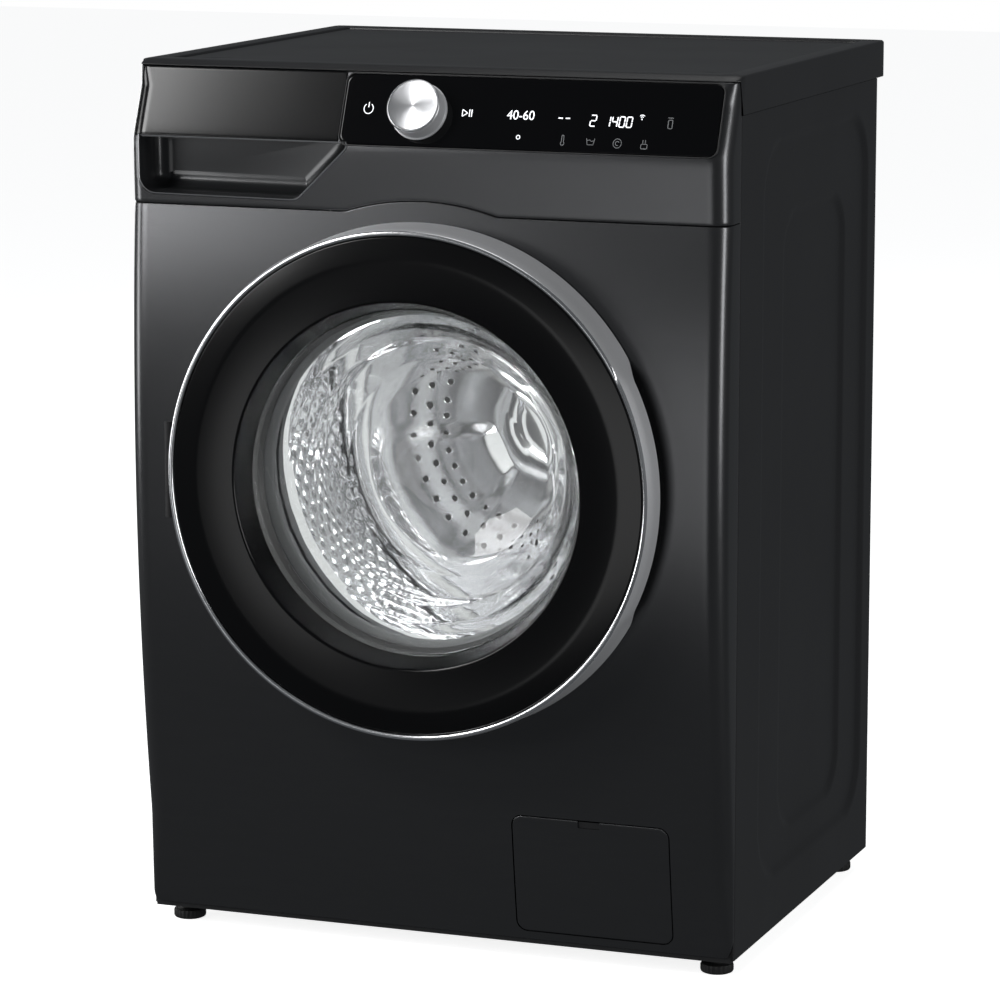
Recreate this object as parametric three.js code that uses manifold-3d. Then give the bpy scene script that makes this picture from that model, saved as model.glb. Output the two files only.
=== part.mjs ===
// Front-loading washing machine: an assembly of separate named pieces.
// Millimetres, +Z up, the door faces -Y, +X is the viewer's right, the feet stand on Z = 0.
// While modelling, Y = 0 is the foremost line of the bowed front panel. The whole group is
// then moved along Y so that its origin is under the middle of its overall box.
import * as THREE from 'three';
import { mergeVertices } from 'three/addons/utils/BufferGeometryUtils.js';
import Module from 'manifold-3d';

const wasm = await Module();
wasm.setup();

// ---------------------------------------------------------------- driving dimensions

const CABINET_WIDTH = 600;
const CABINET_HEIGHT = 850;
const CABINET_REAR_Y = 498;
const SHEET = 1.5;
const GAP = 0.5;
const FIT = 0.3;
const CORNER_RADIUS = 18;
const SIDE_SEAM_Y = 45;
const SIDE_FLANGE = 13;
const BASE_BOTTOM_Z = 17;
const BASE_TOP_Z = 55;
const BASE_WALL = 3;
const PANEL_BOTTOM_Z = 22;
const DOOR_SIDES = 52;
const TUB_SIDES = 32;
const FASCIA_SEAM_Z = 716;

const BOW_CENTRE_Z = 502;
const BOW_SETBACK = 40;

const WORKTOP_SKIRT = 36;
const WORKTOP_PLATE = 5;
const WORKTOP_OVERHANG = 25;
const WORKTOP_RIM = 22;
const WORKTOP_RECESS = 2;
const WORKTOP_FRONT_Y = 35;
const WORKTOP_CORNER = 9;
const WORKTOP_RECESS_CORNER = 12;
const WORKTOP_SKIRT_WALL = 2.5;
const WORKTOP_BEVEL = 8;
const BRACE_FRONT_Y = 300;
const BRACE_DEPTH = 26;
const BRACE_HEIGHT = 22;
const BRACE_SHEET = 2;

// Pressed fields of the side walls: depth range, height range, corner, and sink below the wall.
const FIELD_SLOPE = 9;
const OUTER_FIELD = { ys: [118, 466], zs: [70, 784], corner: 58, sink: 3.5 };
const INNER_FIELD = { ys: [192, 398], zs: [104, 712], corner: 46, sink: 6.5 };

const ACCESS_DROP = 20;
const ACCESS_RADIUS = 190;
const ACCESS_COVER_RADIUS = 204;
const ACCESS_DOME_RADIUS = 168;
const ACCESS_DOME = 10;

const FASCIA_WALL = 4.5;
const LEDGE_Z = 778;
const LEDGE_Y = 5.5;
const FASCIA_TOP_Z = 844.4;
const FASCIA_LEAN = 23;
const HUMP_RADIUS = 262;
const HUMP_HALF_WIDTH = 84;
const POCKET_LEFT_X = -287;
const POCKET_RIGHT_X = -76;
const POCKET_BOTTOM_Z = 725;
const POCKET_BACK_Y = 45.5;
const POCKET_WALL = 2.5;

const DRUM_Z = 466;
const DRUM_RADIUS = 240;
const DRUM_FRONT_Y = 112;
const DRUM_REAR_Y = 378;
const DRUM_WALL = 1.5;
const DRUM_MOUTH_RADIUS = 172;
const LIFTER_COUNT = 3;
const LIFTER_HEIGHT = 46;
const LIFTER_LENGTH = 226;

const TUB_RADIUS = 262;
const TUB_WALL = 4;
const TUB_FRONT_Y = 100;
const TUB_JOINT_Y = 252;
const TUB_REAR_Y = 408;
const TUB_FLANGE = 7;
const NECK_RADIUS = 194;
const NECK_FRONT_Y = 66;
const HUB_RADIUS = 48;
const HUB_FRONT_Y = 398;
const HUB_REAR_Y = 440;
const SHAFT_RADIUS = 15;
const SHAFT_NOSE_RADIUS = 12;
const BEARING_WIDTH = 14;
const BEARING_RADIUS = 31;

const DOOR_OPENING_RADIUS = 203;
const DOOR_BEAD_Y = -40;
const TRIM_RADIUS = 240;
const TRIM_FLARE = 3;
const GLASS_RIM_RADIUS = 166;
const GLASS_DEPTH_Y = 117;
const HINGE_X = -246;
const HINGE_Y = -21;
const KNUCKLE_RADIUS = 5;
const HINGE_PIN_RADIUS = 2.5;
const HINGE_HALF_HEIGHT = 46;
const HINGE_ARM_HALF_HEIGHT = 21.5;
const HINGE_SLOT = [19, 50];
const HINGE_WEB_X = [-228, -224];
const HINGE_LEAF_X = [-228, -204];
const HINGE_LEAF_Y = [-10.4, -7.4];
const HINGE_PLATE_Y = [3.4, 6.4];
const HINGE_PLATE_WIDTH = 44;
const GRIP_BELOW = 112;
const GRIP_ABOVE = 128;
const GRIP_REAR_Y = -13;
const TRIM_REAR_Y = 18;
const TRIM_CLEARANCE = 2;

const DIAL_X = -5;
const DIAL_RADIUS = 26;
const DIAL_HEIGHT = 20;
const DIAL_SKIRT = 1.6;
const DIAL_STEM_RADIUS = 7;
const DIAL_BORE_RADIUS = 9;
const DISPLAY_LEFT_X = -81;
const DISPLAY_RIGHT_X = 287;
const DISPLAY_THICKNESS = 3;
const DRAWER_LEFT_X = -293;
const DRAWER_RIGHT_X = -82.5;
const DRAWER_FRONT_WALL = 6;
const DRAWER_FRONT_CLEARANCE = 1.2;
const TRAY_WIDTH = 184;
const TRAY_CENTRE_X = -188;
const TRAY_FRONT_Y = 52;
const TRAY_LENGTH = 218;
const TRAY_BOTTOM_Z = 788;
const TRAY_HEIGHT = 46;
const TRAY_WALL = 2;
const TRAY_BRACKET_Z = 812;
const HOUSING_WALL = 2;
const HOUSING_SPOUT = 14;
const SPIGOT_DROP = 22;
const SPIGOT_LENGTH = 14;
const SOCKET_RADIUS = 20;
const SOCKET_BORE_RADIUS = 17;

const FLAP_LEFT_X = 85;
const FLAP_RIGHT_X = 241;
const FLAP_BOTTOM_Z = 31;
const FLAP_TOP_Z = 147;
const FLAP_CORNER = 10;
const FLAP_WALL = 2;
const PUMP_X = 163;
const PUMP_Z = 88;
const PUMP_FRONT_Y = 58.5;
const PUMP_JOINT_Y = 140;
const PUMP_REAR_Y = 192;
const PUMP_INLET_Y = 108;
const PUMP_INLET_REACH = 48;
const PUMP_INLET_RADIUS = 13;
const PUMP_OUTLET_Y = 120;
const PUMP_OUTLET_SHIFT = 12;
const PUMP_OUTLET_RISE = 48;
const FILTER_CAP_RADIUS = 28;
const FILTER_CAP_FRONT_Y = 46;

const FOOT_X = 274;
const FOOT_FRONT_Y = 72;
const FOOT_REAR_Y = 468;
const FOOT_RADIUS = 16;
const FOOT_PAD = 9;
const FOOT_STEM_RADIUS = 5;
const FOOT_STEM_TOP_Z = 48;
const FOOT_NECK_RADIUS = 8;

const DRUM_PULLEY_RADIUS = 150;
const MOTOR_PULLEY_RADIUS = 20;
const MOTOR_RADIUS = 46;
const MOTOR_X = 95;
const MOTOR_STANDOFF = 8;
const MOTOR_FRONT_Y = 290;
const MOTOR_REAR_Y = 426;
const PULLEY_FRONT_Y = 446;
const PULLEY_WIDTH = 14;
const BELT_THICKNESS = 3;

const SPRING_X = 240;
const SPRING_Y = 345;
const SPRING_RADIUS = 11;
const SPRING_WIRE = 2;
const SPRING_TURNS = 6;
const SPRING_BOTTOM_Z = 676;
const SPRING_TOP_Z = 780;
const DAMPER_X = 150;
const DAMPER_Y = 235;
const DAMPER_TUBE_RADIUS = 14;
const DAMPER_ROD_RADIUS = 6;
const DAMPER_ROD_TOP_Z = 232;

const HEATER_HALF_SPAN = 25;
const SUMP_X = 60;
const SUMP_Y = 150;
const SUMP_TOP_Z = 192;
const DISPENSER_HOSE_X = -150;
const DISPENSER_HOSE_Y = 200;
const DISPENSER_SOCKET_Z = 700;
const INLET_X = -200;
const INLET_Z = 775;
const OUTLET_X = 255;
const OUTLET_Z = 112;
const GLAND_X = -220;
const GLAND_Z = 150;
const GLAND_HOLE = [24, 18];
const INLET_HOLE_RADIUS = 13.5;
const OUTLET_HOLE_RADIUS = 15;
const VALVE_BARB_Y = 432;
const VALVE_BARB_RISE = 10;
const VALVE_FRONT_Y = 448;
const VALVE_REAR_Y = 486;
const LATCH_X = 213;
const LATCH_SLOT = 7;
const LATCH_SLOT_HALF_HEIGHT = 16;
const LOCK_X = [204, 250];
const LOCK_Y = [4.2, 34];
const LOCK_HALF_HEIGHT = 38;
const LOCK_MOUTH_REAR_Y = 26;
const BOARD_X = [-60, 262];
const BOARD_Y = [58, 62];
const BOARD_Z = [728, 806];

// ---------------------------------------------------------------- worked-out dimensions

const HALF_WIDTH = CABINET_WIDTH / 2 - 1;
const SKIRT_BOTTOM_Z = CABINET_HEIGHT - WORKTOP_SKIRT;
const BOW = BOW_SETBACK / (BOW_CENTRE_Z - PANEL_BOTTOM_Z) ** 2;
const LEAN = THREE.MathUtils.degToRad(FASCIA_LEAN);
const HEATER_Z = DRUM_Z - (DRUM_RADIUS + TUB_RADIUS - TUB_WALL) / 2 + 1.3;
const DIAL_Z = LEDGE_Z + 32;
const MOTOR_Z = DRUM_Z - Math.sqrt((TUB_RADIUS + MOTOR_RADIUS + MOTOR_STANDOFF) ** 2 - MOTOR_X ** 2);
const BASE_FLOOR_Z = BASE_BOTTOM_Z + 2.5;
const BACK_FRONT_Y = CABINET_REAR_Y - 3;
const ACCESS_Z = DRUM_Z - ACCESS_DROP;
const HOUSING_TOP_Z = CABINET_HEIGHT - WORKTOP_PLATE - 1.5;
const SPIGOT_Z = HOUSING_TOP_Z - SPIGOT_DROP;
const TRAY_REAR_Y = TRAY_FRONT_Y + TRAY_LENGTH;

/** Depth of the front panel's bowed face at height z. */
const frontY = (z) => BOW * (z - BOW_CENTRE_Z) ** 2;

/** Depth of the fascia's face: upright to the ledge, then leaning back to the worktop. */
const fasciaY = (z) => (z < LEDGE_Z
  ? THREE.MathUtils.mapLinear(z, FASCIA_SEAM_Z, LEDGE_Z, frontY(FASCIA_SEAM_Z), LEDGE_Y)
  : LEDGE_Y + (z - LEDGE_Z) * Math.tan(LEAN));

// ---------------------------------------------------------------- solid helpers

/** Turn a closed three.js geometry into a solid with its faces pointing out. */
function solid(geometry) {
  const plain = geometry.index ? geometry.toNonIndexed() : geometry.clone();
  plain.deleteAttribute('normal');
  plain.deleteAttribute('uv');
  const welded = mergeVertices(plain, 1e-4);
  const position = welded.attributes.position;
  const corners = [];
  let volume = 0;
  const [a, b, c] = [new THREE.Vector3(), new THREE.Vector3(), new THREE.Vector3()];
  for (let i = 0; i < welded.index.count; i += 3) {
    const face = [welded.index.getX(i), welded.index.getX(i + 1), welded.index.getX(i + 2)];
    if (new Set(face).size < 3) continue;
    a.fromBufferAttribute(position, face[0]);
    b.fromBufferAttribute(position, face[1]);
    c.fromBufferAttribute(position, face[2]);
    volume += a.dot(b.cross(c));
    corners.push(face);
  }
  const faces = volume < 0 ? corners.map((face) => face.reverse()) : corners;
  return new wasm.Manifold(new wasm.Mesh({
    numProp: 3,
    vertProperties: new Float32Array(position.array),
    triVerts: new Uint32Array(faces.flat()),
  }));
}

/** Box between two limits on each axis. */
function block([x0, x1], [y0, y1], [z0, z1]) {
  const geometry = new THREE.BoxGeometry(x1 - x0, y1 - y0, z1 - z0);
  geometry.translate((x0 + x1) / 2, (y0 + y1) / 2, (z0 + z1) / 2);
  return solid(geometry);
}

/** Cylinder along Y. */
function rodY(radius, x, z, [y0, y1], sides = 24) {
  const geometry = new THREE.CylinderGeometry(radius, radius, y1 - y0, sides);
  geometry.translate(x, (y0 + y1) / 2, z);
  return solid(geometry);
}

/** Cylinder along Z. */
function rodZ(radius, x, y, [z0, z1], sides = 20) {
  const geometry = new THREE.CylinderGeometry(radius, radius, z1 - z0, sides);
  geometry.rotateX(Math.PI / 2);
  geometry.translate(x, y, (z0 + z1) / 2);
  return solid(geometry);
}

/** Ring or cup turned about a Y axis from a closed list of [radius, y]. */
function turnedY(profile, x, z, sides = 48) {
  const points = profile.map(([r, y]) => new THREE.Vector2(r, y));
  if (profile[0][0] > 0) points.push(points[0].clone());
  const geometry = new THREE.LatheGeometry(points, sides);
  geometry.translate(x, 0, z);
  return solid(geometry);
}

/** Ring or cup turned about a Z axis from a closed list of [radius, z]. */
function turnedZ(profile, x, y, sides = 24) {
  const points = profile.map(([r, z]) => new THREE.Vector2(r, z));
  if (profile[0][0] > 0) points.push(points[0].clone());
  const geometry = new THREE.LatheGeometry(points, sides);
  geometry.rotateX(Math.PI / 2);
  geometry.translate(x, y, 0);
  return solid(geometry);
}

/** Straight extrusion of an outline; the basis says where outline and depth run. */
function prism(outline, depth, right, up, along, start) {
  const shape = new THREE.Shape(outline.map(([u, v]) => new THREE.Vector2(u, v)));
  const geometry = new THREE.ExtrudeGeometry(shape, { depth, bevelEnabled: false });
  geometry.applyMatrix4(new THREE.Matrix4().makeBasis(right, up, along));
  geometry.translate(start.x, start.y, start.z);
  return solid(geometry);
}

const [AXIS_X, AXIS_Y, AXIS_Z] = [
  new THREE.Vector3(1, 0, 0), new THREE.Vector3(0, 1, 0), new THREE.Vector3(0, 0, 1)];

/** Outline of [x, z] pairs carried along Y. */
const prismY = (outline, [y0, y1]) =>
  prism(outline, y1 - y0, AXIS_X, AXIS_Z, AXIS_Y, new THREE.Vector3(0, y0, 0));

/** Outline of [y, z] pairs carried along X. */
const prismX = (outline, [x0, x1]) =>
  prism(outline, x1 - x0, AXIS_Y, AXIS_Z, AXIS_X, new THREE.Vector3(x0, 0, 0));

/** Outline of [x, y] pairs carried along Z. */
const prismZ = (outline, [z0, z1]) =>
  prism(outline, z1 - z0, AXIS_X, AXIS_Y, AXIS_Z, new THREE.Vector3(0, 0, z0));

/** Points of a rectangle with round corners. */
function roundedRectangle([u0, u1], [v0, v1], radius, steps = 4) {
  const centres = [[u1 - radius, v1 - radius, 0], [u0 + radius, v1 - radius, 1],
    [u0 + radius, v0 + radius, 2], [u1 - radius, v0 + radius, 3]];
  return centres.flatMap(([u, v, quarter]) => Array.from({ length: steps + 1 }, (_, i) => {
    const angle = (quarter + i / steps) * Math.PI / 2;
    return [u + radius * Math.cos(angle), v + radius * Math.sin(angle)];
  }));
}

/** Closed skin through rows of points that all hold the same number, capped at both ends. */
function loft(rows) {
  const count = rows[0].length;
  const corners = [];
  const push = (...points) => points.forEach((p) => corners.push(p.x, p.y, p.z));
  for (let r = 0; r + 1 < rows.length; r += 1) {
    for (let i = 0; i < count; i += 1) {
      const j = (i + 1) % count;
      push(rows[r][i], rows[r][j], rows[r + 1][j]);
      push(rows[r][i], rows[r + 1][j], rows[r + 1][i]);
    }
  }
  const middle = (row) => row.reduce((sum, p) => sum.add(p), new THREE.Vector3()).divideScalar(count);
  for (let i = 0; i < count; i += 1) {
    const j = (i + 1) % count;
    push(middle(rows[0]), rows[0][j], rows[0][i]);
    push(middle(rows.at(-1)), rows.at(-1)[i], rows.at(-1)[j]);
  }
  const geometry = new THREE.BufferGeometry();
  geometry.setAttribute('position', new THREE.Float32BufferAttribute(corners, 3));
  return solid(geometry);
}

/** Round tube along a smooth curve through the given points. */
function tube(points, radius, steps, sides = 8) {
  const curve = new THREE.CatmullRomCurve3(points.map((p) => new THREE.Vector3(...p)));
  const ring = Array.from({ length: sides }, (_, i) => new THREE.Vector2(
    radius * Math.cos(2 * Math.PI * i / sides), radius * Math.sin(2 * Math.PI * i / sides)));
  return solid(new THREE.ExtrudeGeometry(new THREE.Shape(ring), { steps, extrudePath: curve }));
}

/** Closed outline of even thickness around a line of [radius, y] points. */
function ribbon(line, thickness) {
  const sides = line.map(([u, v], i) => {
    const [pu, pv] = line[Math.max(i - 1, 0)];
    const [nu, nv] = line[Math.min(i + 1, line.length - 1)];
    const length = Math.hypot(nu - pu, nv - pv);
    const [ou, ov] = [-(nv - pv) / length * thickness / 2, (nu - pu) / length * thickness / 2];
    return [[u + ou, v + ov], [u - ou, v - ov]];
  });
  return [...sides.map(([left]) => left), ...sides.map(([, right]) => right).reverse()];
}

/** Sum of several solids. */
const union = (first, ...rest) => rest.reduce((sum, next) => sum.add(next), first);

/** Move a solid from the fascia's own frame onto its leaning face at height z. */
function ontoFascia(body, x, z) {
  return body.rotate([-FASCIA_LEAN, 0, 0]).translate([x, fasciaY(z), z]);
}

// ---------------------------------------------------------------- scene and materials

const machine = new THREE.Group();

const FINISHES = {
  graphitePaint: { color: 0x3a3b3d, roughness: 0.42, metalness: 0.55 },
  satinBlack: { color: 0x232426, roughness: 0.5, metalness: 0.2 },
  worktopBlack: { color: 0x1d1e20, roughness: 0.45, metalness: 0.1 },
  glossBlack: { color: 0x060607, roughness: 0.08, metalness: 0 },
  satinTrim: { color: 0x9a9b9d, roughness: 0.3, metalness: 0.9 },
  spunAluminium: { color: 0xb8b8ba, roughness: 0.28, metalness: 1 },
  clearGlass: { color: 0xdfe6e8, roughness: 0.03, metalness: 0 },
  stainless: { color: 0xc6c8ca, roughness: 0.22, metalness: 1 },
  galvanised: { color: 0x9fa3a6, roughness: 0.45, metalness: 0.9 },
  castAluminium: { color: 0x8d9093, roughness: 0.55, metalness: 0.9 },
  castIron: { color: 0x3c3d3f, roughness: 0.7, metalness: 0.6 },
  greyPlastic: { color: 0x6e7174, roughness: 0.6, metalness: 0 },
  whitePlastic: { color: 0xd6d7d4, roughness: 0.5, metalness: 0 },
  blackPlastic: { color: 0x17181a, roughness: 0.55, metalness: 0 },
  rubberGrey: { color: 0x5b5e60, roughness: 0.8, metalness: 0 },
  rubberBlack: { color: 0x141415, roughness: 0.85, metalness: 0 },
  concrete: { color: 0x8f8d88, roughness: 0.9, metalness: 0 },
  circuitGreen: { color: 0x1f4a2c, roughness: 0.6, metalness: 0 },
};

/** Put one finished solid into the machine as a named mesh with its own material. */
function addPiece(name, body, finish) {
  const { vertProperties, triVerts } = body.getMesh();
  const geometry = new THREE.BufferGeometry();
  geometry.setAttribute('position', new THREE.BufferAttribute(new Float32Array(vertProperties), 3));
  geometry.setIndex(new THREE.BufferAttribute(new Uint32Array(triVerts), 1));
  const mesh = new THREE.Mesh(geometry, new THREE.MeshStandardMaterial(FINISHES[finish]));
  mesh.name = name;
  machine.add(mesh);
}

// ---------------------------------------------------------------- cabinet shell

/** Plan line of a face that wraps round both front corners, from left seam to right seam. */
function wrapLine(faceY, inset, z) {
  const half = HALF_WIDTH - inset;
  const radius = Math.max(Math.min(CORNER_RADIUS, SIDE_SEAM_Y - faceY - 1) - inset, 0.3);
  const front = faceY + inset;
  const steps = 5;
  const left = Array.from({ length: steps + 1 }, (_, i) => {
    const angle = Math.PI * (1 + i / steps / 2);
    return [-half + radius + radius * Math.cos(angle), front + radius + radius * Math.sin(angle)];
  });
  const right = left.map(([x, y]) => [-x, y]).reverse();
  const line = [[-half, SIDE_SEAM_Y - GAP], ...left, ...right, [half, SIDE_SEAM_Y - GAP]];
  return line.map(([x, y]) => new THREE.Vector3(x, y, z));
}

/** Bent sheet through the given heights, following a face and wrapping both corners. */
function wrappedShell(heights, face, thickness) {
  return loftSheet(heights.map((z) => wrapLine(face(z), 0, z)),
    heights.map((z) => wrapLine(face(z), thickness, z)));
}

/** Closed sheet between an outer and an inner grid of points. */
function loftSheet(outer, inner) {
  const corners = [];
  const quad = (a, b, c, d) => [a, b, c, a, c, d].forEach((p) => corners.push(p.x, p.y, p.z));
  const rows = outer.length - 1;
  const columns = outer[0].length - 1;
  for (let r = 0; r < rows; r += 1) {
    for (let i = 0; i < columns; i += 1) {
      quad(outer[r][i], outer[r][i + 1], outer[r + 1][i + 1], outer[r + 1][i]);
      quad(inner[r][i], inner[r + 1][i], inner[r + 1][i + 1], inner[r][i + 1]);
    }
    quad(outer[r][0], outer[r + 1][0], inner[r + 1][0], inner[r][0]);
    quad(outer[r][columns], inner[r][columns], inner[r + 1][columns], outer[r + 1][columns]);
  }
  for (let i = 0; i < columns; i += 1) {
    quad(outer[0][i], inner[0][i], inner[0][i + 1], outer[0][i + 1]);
    quad(outer[rows][i], outer[rows][i + 1], inner[rows][i + 1], inner[rows][i]);
  }
  const geometry = new THREE.BufferGeometry();
  geometry.setAttribute('position', new THREE.Float32BufferAttribute(corners, 3));
  return solid(geometry);
}

/** Evenly spaced heights, both ends included. */
const heightsBetween = (low, high, count) =>
  Array.from({ length: count + 1 }, (_, i) => low + (high - low) * i / count);

/** Everything below the seam that humps over the door, moved up by lift. */
function belowSeam(lift) {
  const steps = 10;
  const seam = Array.from({ length: steps + 1 }, (_, i) => {
    const x = HUMP_HALF_WIDTH * (1 - 2 * i / steps);
    const arc = DRUM_Z + Math.sqrt(HUMP_RADIUS ** 2 - x ** 2);
    return [x, Math.max(arc, FASCIA_SEAM_Z) + lift];
  });
  const level = FASCIA_SEAM_Z + lift;
  const far = CABINET_WIDTH;
  const outline = [[-far, 0], [far, 0], [far, level], ...seam, [-far, level]];
  return prismY(outline, [-CABINET_WIDTH, CABINET_WIDTH]);
}

/** Door-side cutter: all that lies behind the panel's face less a clearance. */
function behindPanel(clearance) {
  const heights = heightsBetween(DRUM_Z - TRIM_RADIUS - 20, DRUM_Z + TRIM_RADIUS + 20, 12);
  const face = heights.map((z) => [frontY(z) - clearance, z]);
  const back = [[SIDE_SEAM_Y * 2, heights.at(-1)], [SIDE_SEAM_Y * 2, heights[0]]];
  return prismX([...face, ...back], [-CABINET_WIDTH, CABINET_WIDTH]);
}

/** Outline of the flap's opening, grown by a margin. */
const flapOutline = (margin) => roundedRectangle([FLAP_LEFT_X - margin, FLAP_RIGHT_X + margin],
  [FLAP_BOTTOM_Z - margin, FLAP_TOP_Z + margin], FLAP_CORNER + margin, 4);

function buildFrontPanel() {
  const through = [-30, SIDE_SEAM_Y + 20];
  const hump = DRUM_Z + HUMP_RADIUS + 4;
  const shell = wrappedShell(heightsBetween(PANEL_BOTTOM_Z, hump, 10), frontY, SHEET);
  const opening = rodY(DOOR_OPENING_RADIUS, 0, DRUM_Z, through, 48);
  const latchSlot = block([LATCH_X - LATCH_SLOT, LATCH_X + LATCH_SLOT + 1], through,
    [DRUM_Z - LATCH_SLOT_HALF_HEIGHT, DRUM_Z + LATCH_SLOT_HALF_HEIGHT]);
  const hingeSlots = [-1, 1].map((side) => block([HINGE_X - 6, HINGE_X + 4], through,
    HINGE_SLOT.map((z) => side * z + DRUM_Z).sort((a, b) => a - b)));
  const flapHole = prismY(flapOutline(GAP * 2), through);
  return shell.intersect(belowSeam(-GAP / 2)).subtract(union(opening, latchSlot, ...hingeSlots, flapHole));
}

/** Side wall with two nested pressed fields; side is -1 on the left and 1 on the right. */
function buildSidePanel(side) {
  const top = SKIRT_BOTTOM_Z - GAP;
  const wall = block([HALF_WIDTH - SHEET, HALF_WIDTH], [SIDE_SEAM_Y, CABINET_REAR_Y - 3],
    [BASE_BOTTOM_Z + 2, top]);
  const flange = block([HALF_WIDTH - SIDE_FLANGE, HALF_WIDTH - SHEET / 2],
    [SIDE_SEAM_Y + 20, CABINET_REAR_Y - 20], [top - SHEET, top]);
  const field = ({ ys, zs, corner }, depth, lift) => {
    const section = (inset, x) => roundedRectangle([ys[0] + inset, ys[1] - inset],
      [zs[0] + inset, zs[1] - inset], corner - inset, 3).map(([y, z]) => new THREE.Vector3(x, y, z));
    return loft([section(0, HALF_WIDTH + lift), section(FIELD_SLOPE, HALF_WIDTH - depth + lift)]);
  };
  const fields = [OUTER_FIELD, INNER_FIELD];
  const pressed = union(wall, flange, ...fields.map((one) => field(one, one.sink + SHEET, 0)));
  const dished = pressed.subtract(union(...fields.map((one) => field(one, one.sink, 0.01))));
  return side > 0 ? dished : dished.mirror([1, 0, 0]);
}

function buildTopCover() {
  const half = CABINET_WIDTH / 2;
  const rear = CABINET_REAR_Y + WORKTOP_OVERHANG;
  const top = CABINET_HEIGHT;
  const plate = prismZ(roundedRectangle([-half, half], [WORKTOP_FRONT_Y, rear], WORKTOP_CORNER, 3),
    [top - WORKTOP_PLATE, top]);
  const skirt = block([-half, half], [SIDE_SEAM_Y + 1, rear], [SKIRT_BOTTOM_Z, top - WORKTOP_PLATE + 1]);
  const wall = WORKTOP_SKIRT_WALL;
  const inside = block([-half + wall, half - wall], [0, rear - wall], [0, top - WORKTOP_PLATE]);
  const recess = prismZ(roundedRectangle([-half + WORKTOP_RIM, half - WORKTOP_RIM],
    [WORKTOP_FRONT_Y + 34, rear - WORKTOP_RIM], WORKTOP_RECESS_CORNER, 3), [top - WORKTOP_RECESS, top + 1]);
  const bevel = prismX([[WORKTOP_FRONT_Y - 1, top - 4.4], [WORKTOP_FRONT_Y - 1 + WORKTOP_BEVEL, top + 0.4],
    [WORKTOP_FRONT_Y - 1, top + 1]], [-half, half]);
  return plate.add(skirt.subtract(inside)).subtract(union(recess, bevel));
}

function buildBackPanel() {
  const half = HALF_WIDTH - 2;
  const [front, rear] = [BACK_FRONT_Y, BACK_FRONT_Y + SHEET];
  const through = [front - 5, rear + 5];
  const plate = block([-half, half], [front, rear], [BASE_BOTTOM_Z + 2, SKIRT_BOTTOM_Z - GAP]);
  const access = rodY(ACCESS_RADIUS, 0, ACCESS_Z, through, 28);
  const inlet = rodY(INLET_HOLE_RADIUS, INLET_X, INLET_Z, through, 16);
  const outlet = rodY(OUTLET_HOLE_RADIUS, OUTLET_X, OUTLET_Z, through, 16);
  const [across, tall] = GLAND_HOLE.map((size) => size / 2);
  const gland = block([GLAND_X - across, GLAND_X + across], through, [GLAND_Z - tall, GLAND_Z + tall]);
  return plate.subtract(union(access, inlet, outlet, gland));
}

function buildRearAccessCover() {
  const rear = BACK_FRONT_Y + SHEET + FIT;
  const dome = rear + ACCESS_DOME;
  const [crown, edge] = [ACCESS_DOME_RADIUS, ACCESS_COVER_RADIUS];
  const profile = [[0, dome], [crown, dome], [crown + 14, rear + SHEET], [edge, rear + SHEET],
    [edge, rear], [crown + 13, rear], [crown - 1, dome - SHEET], [0, dome - SHEET]];
  return turnedY(profile, 0, ACCESS_Z, 28);
}

function buildBaseFrame() {
  const half = HALF_WIDTH - 2.5;
  const wall = BASE_WALL;
  const rear = CABINET_REAR_Y - 4;
  const front = SIDE_SEAM_Y - 1.5;
  const top = BASE_TOP_Z;
  const tray = block([-half, half], [front, rear], [BASE_BOTTOM_Z, top]);
  const inside = block([-half + wall, half - wall], [front + wall, rear - wall], [BASE_FLOOR_Z, top + 1]);
  const stems = footPlaces().map(([, x, y]) =>
    rodZ(FOOT_STEM_RADIUS + FIT + 0.1, x, y, [0, top], 16));
  const flapNotch = block([FLAP_LEFT_X, FLAP_RIGHT_X], [front - 1, front + wall + 1],
    [FLAP_BOTTOM_Z + 3, top + 1]);
  return tray.subtract(union(inside, flapNotch, ...stems));
}

/** Cross brace between the side walls, with the two hangers that carry the tub springs. */
function buildTopBrace() {
  const half = HALF_WIDTH - SHEET - FIT;
  const top = SKIRT_BOTTOM_Z - GAP - SHEET - FIT;
  const [front, rear] = [BRACE_FRONT_Y, BRACE_FRONT_Y + BRACE_DEPTH];
  const web = block([-half, half], [front, front + BRACE_SHEET], [top - BRACE_HEIGHT, top]);
  const lip = block([-half, half], [front, rear], [top - BRACE_SHEET, top]);
  const hangers = [-1, 1].map((side) => {
    const arm = block([SPRING_X - 16, half], [rear - 1, SPRING_Y + 34], [top - BRACE_SHEET, top]);
    const drop = block([SPRING_X - 3, SPRING_X + 3], [SPRING_Y - 10, SPRING_Y + 34],
      [SPRING_TOP_Z + FIT + SPRING_WIRE, top - 1]);
    const hanger = arm.add(drop);
    return side > 0 ? hanger : hanger.mirror([1, 0, 0]);
  });
  return union(web, lip, ...hangers);
}

// ---------------------------------------------------------------- fascia and dispenser

/** Handle pocket outline seen from the front, grown by a margin. */
function pocketOutline(margin) {
  const [left, right] = [POCKET_LEFT_X - margin, POCKET_RIGHT_X + margin];
  const low = POCKET_BOTTOM_Z - margin;
  const high = LEDGE_Z + 3;
  return [[left, high], [left, low + 14], [left + 4 + margin / 2, low + 4], [POCKET_LEFT_X + 14, low],
    [POCKET_RIGHT_X - 55, low - 1], [POCKET_RIGHT_X - 44, low + 3], [right - 2, high - 9], [right, high]];
}

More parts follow.
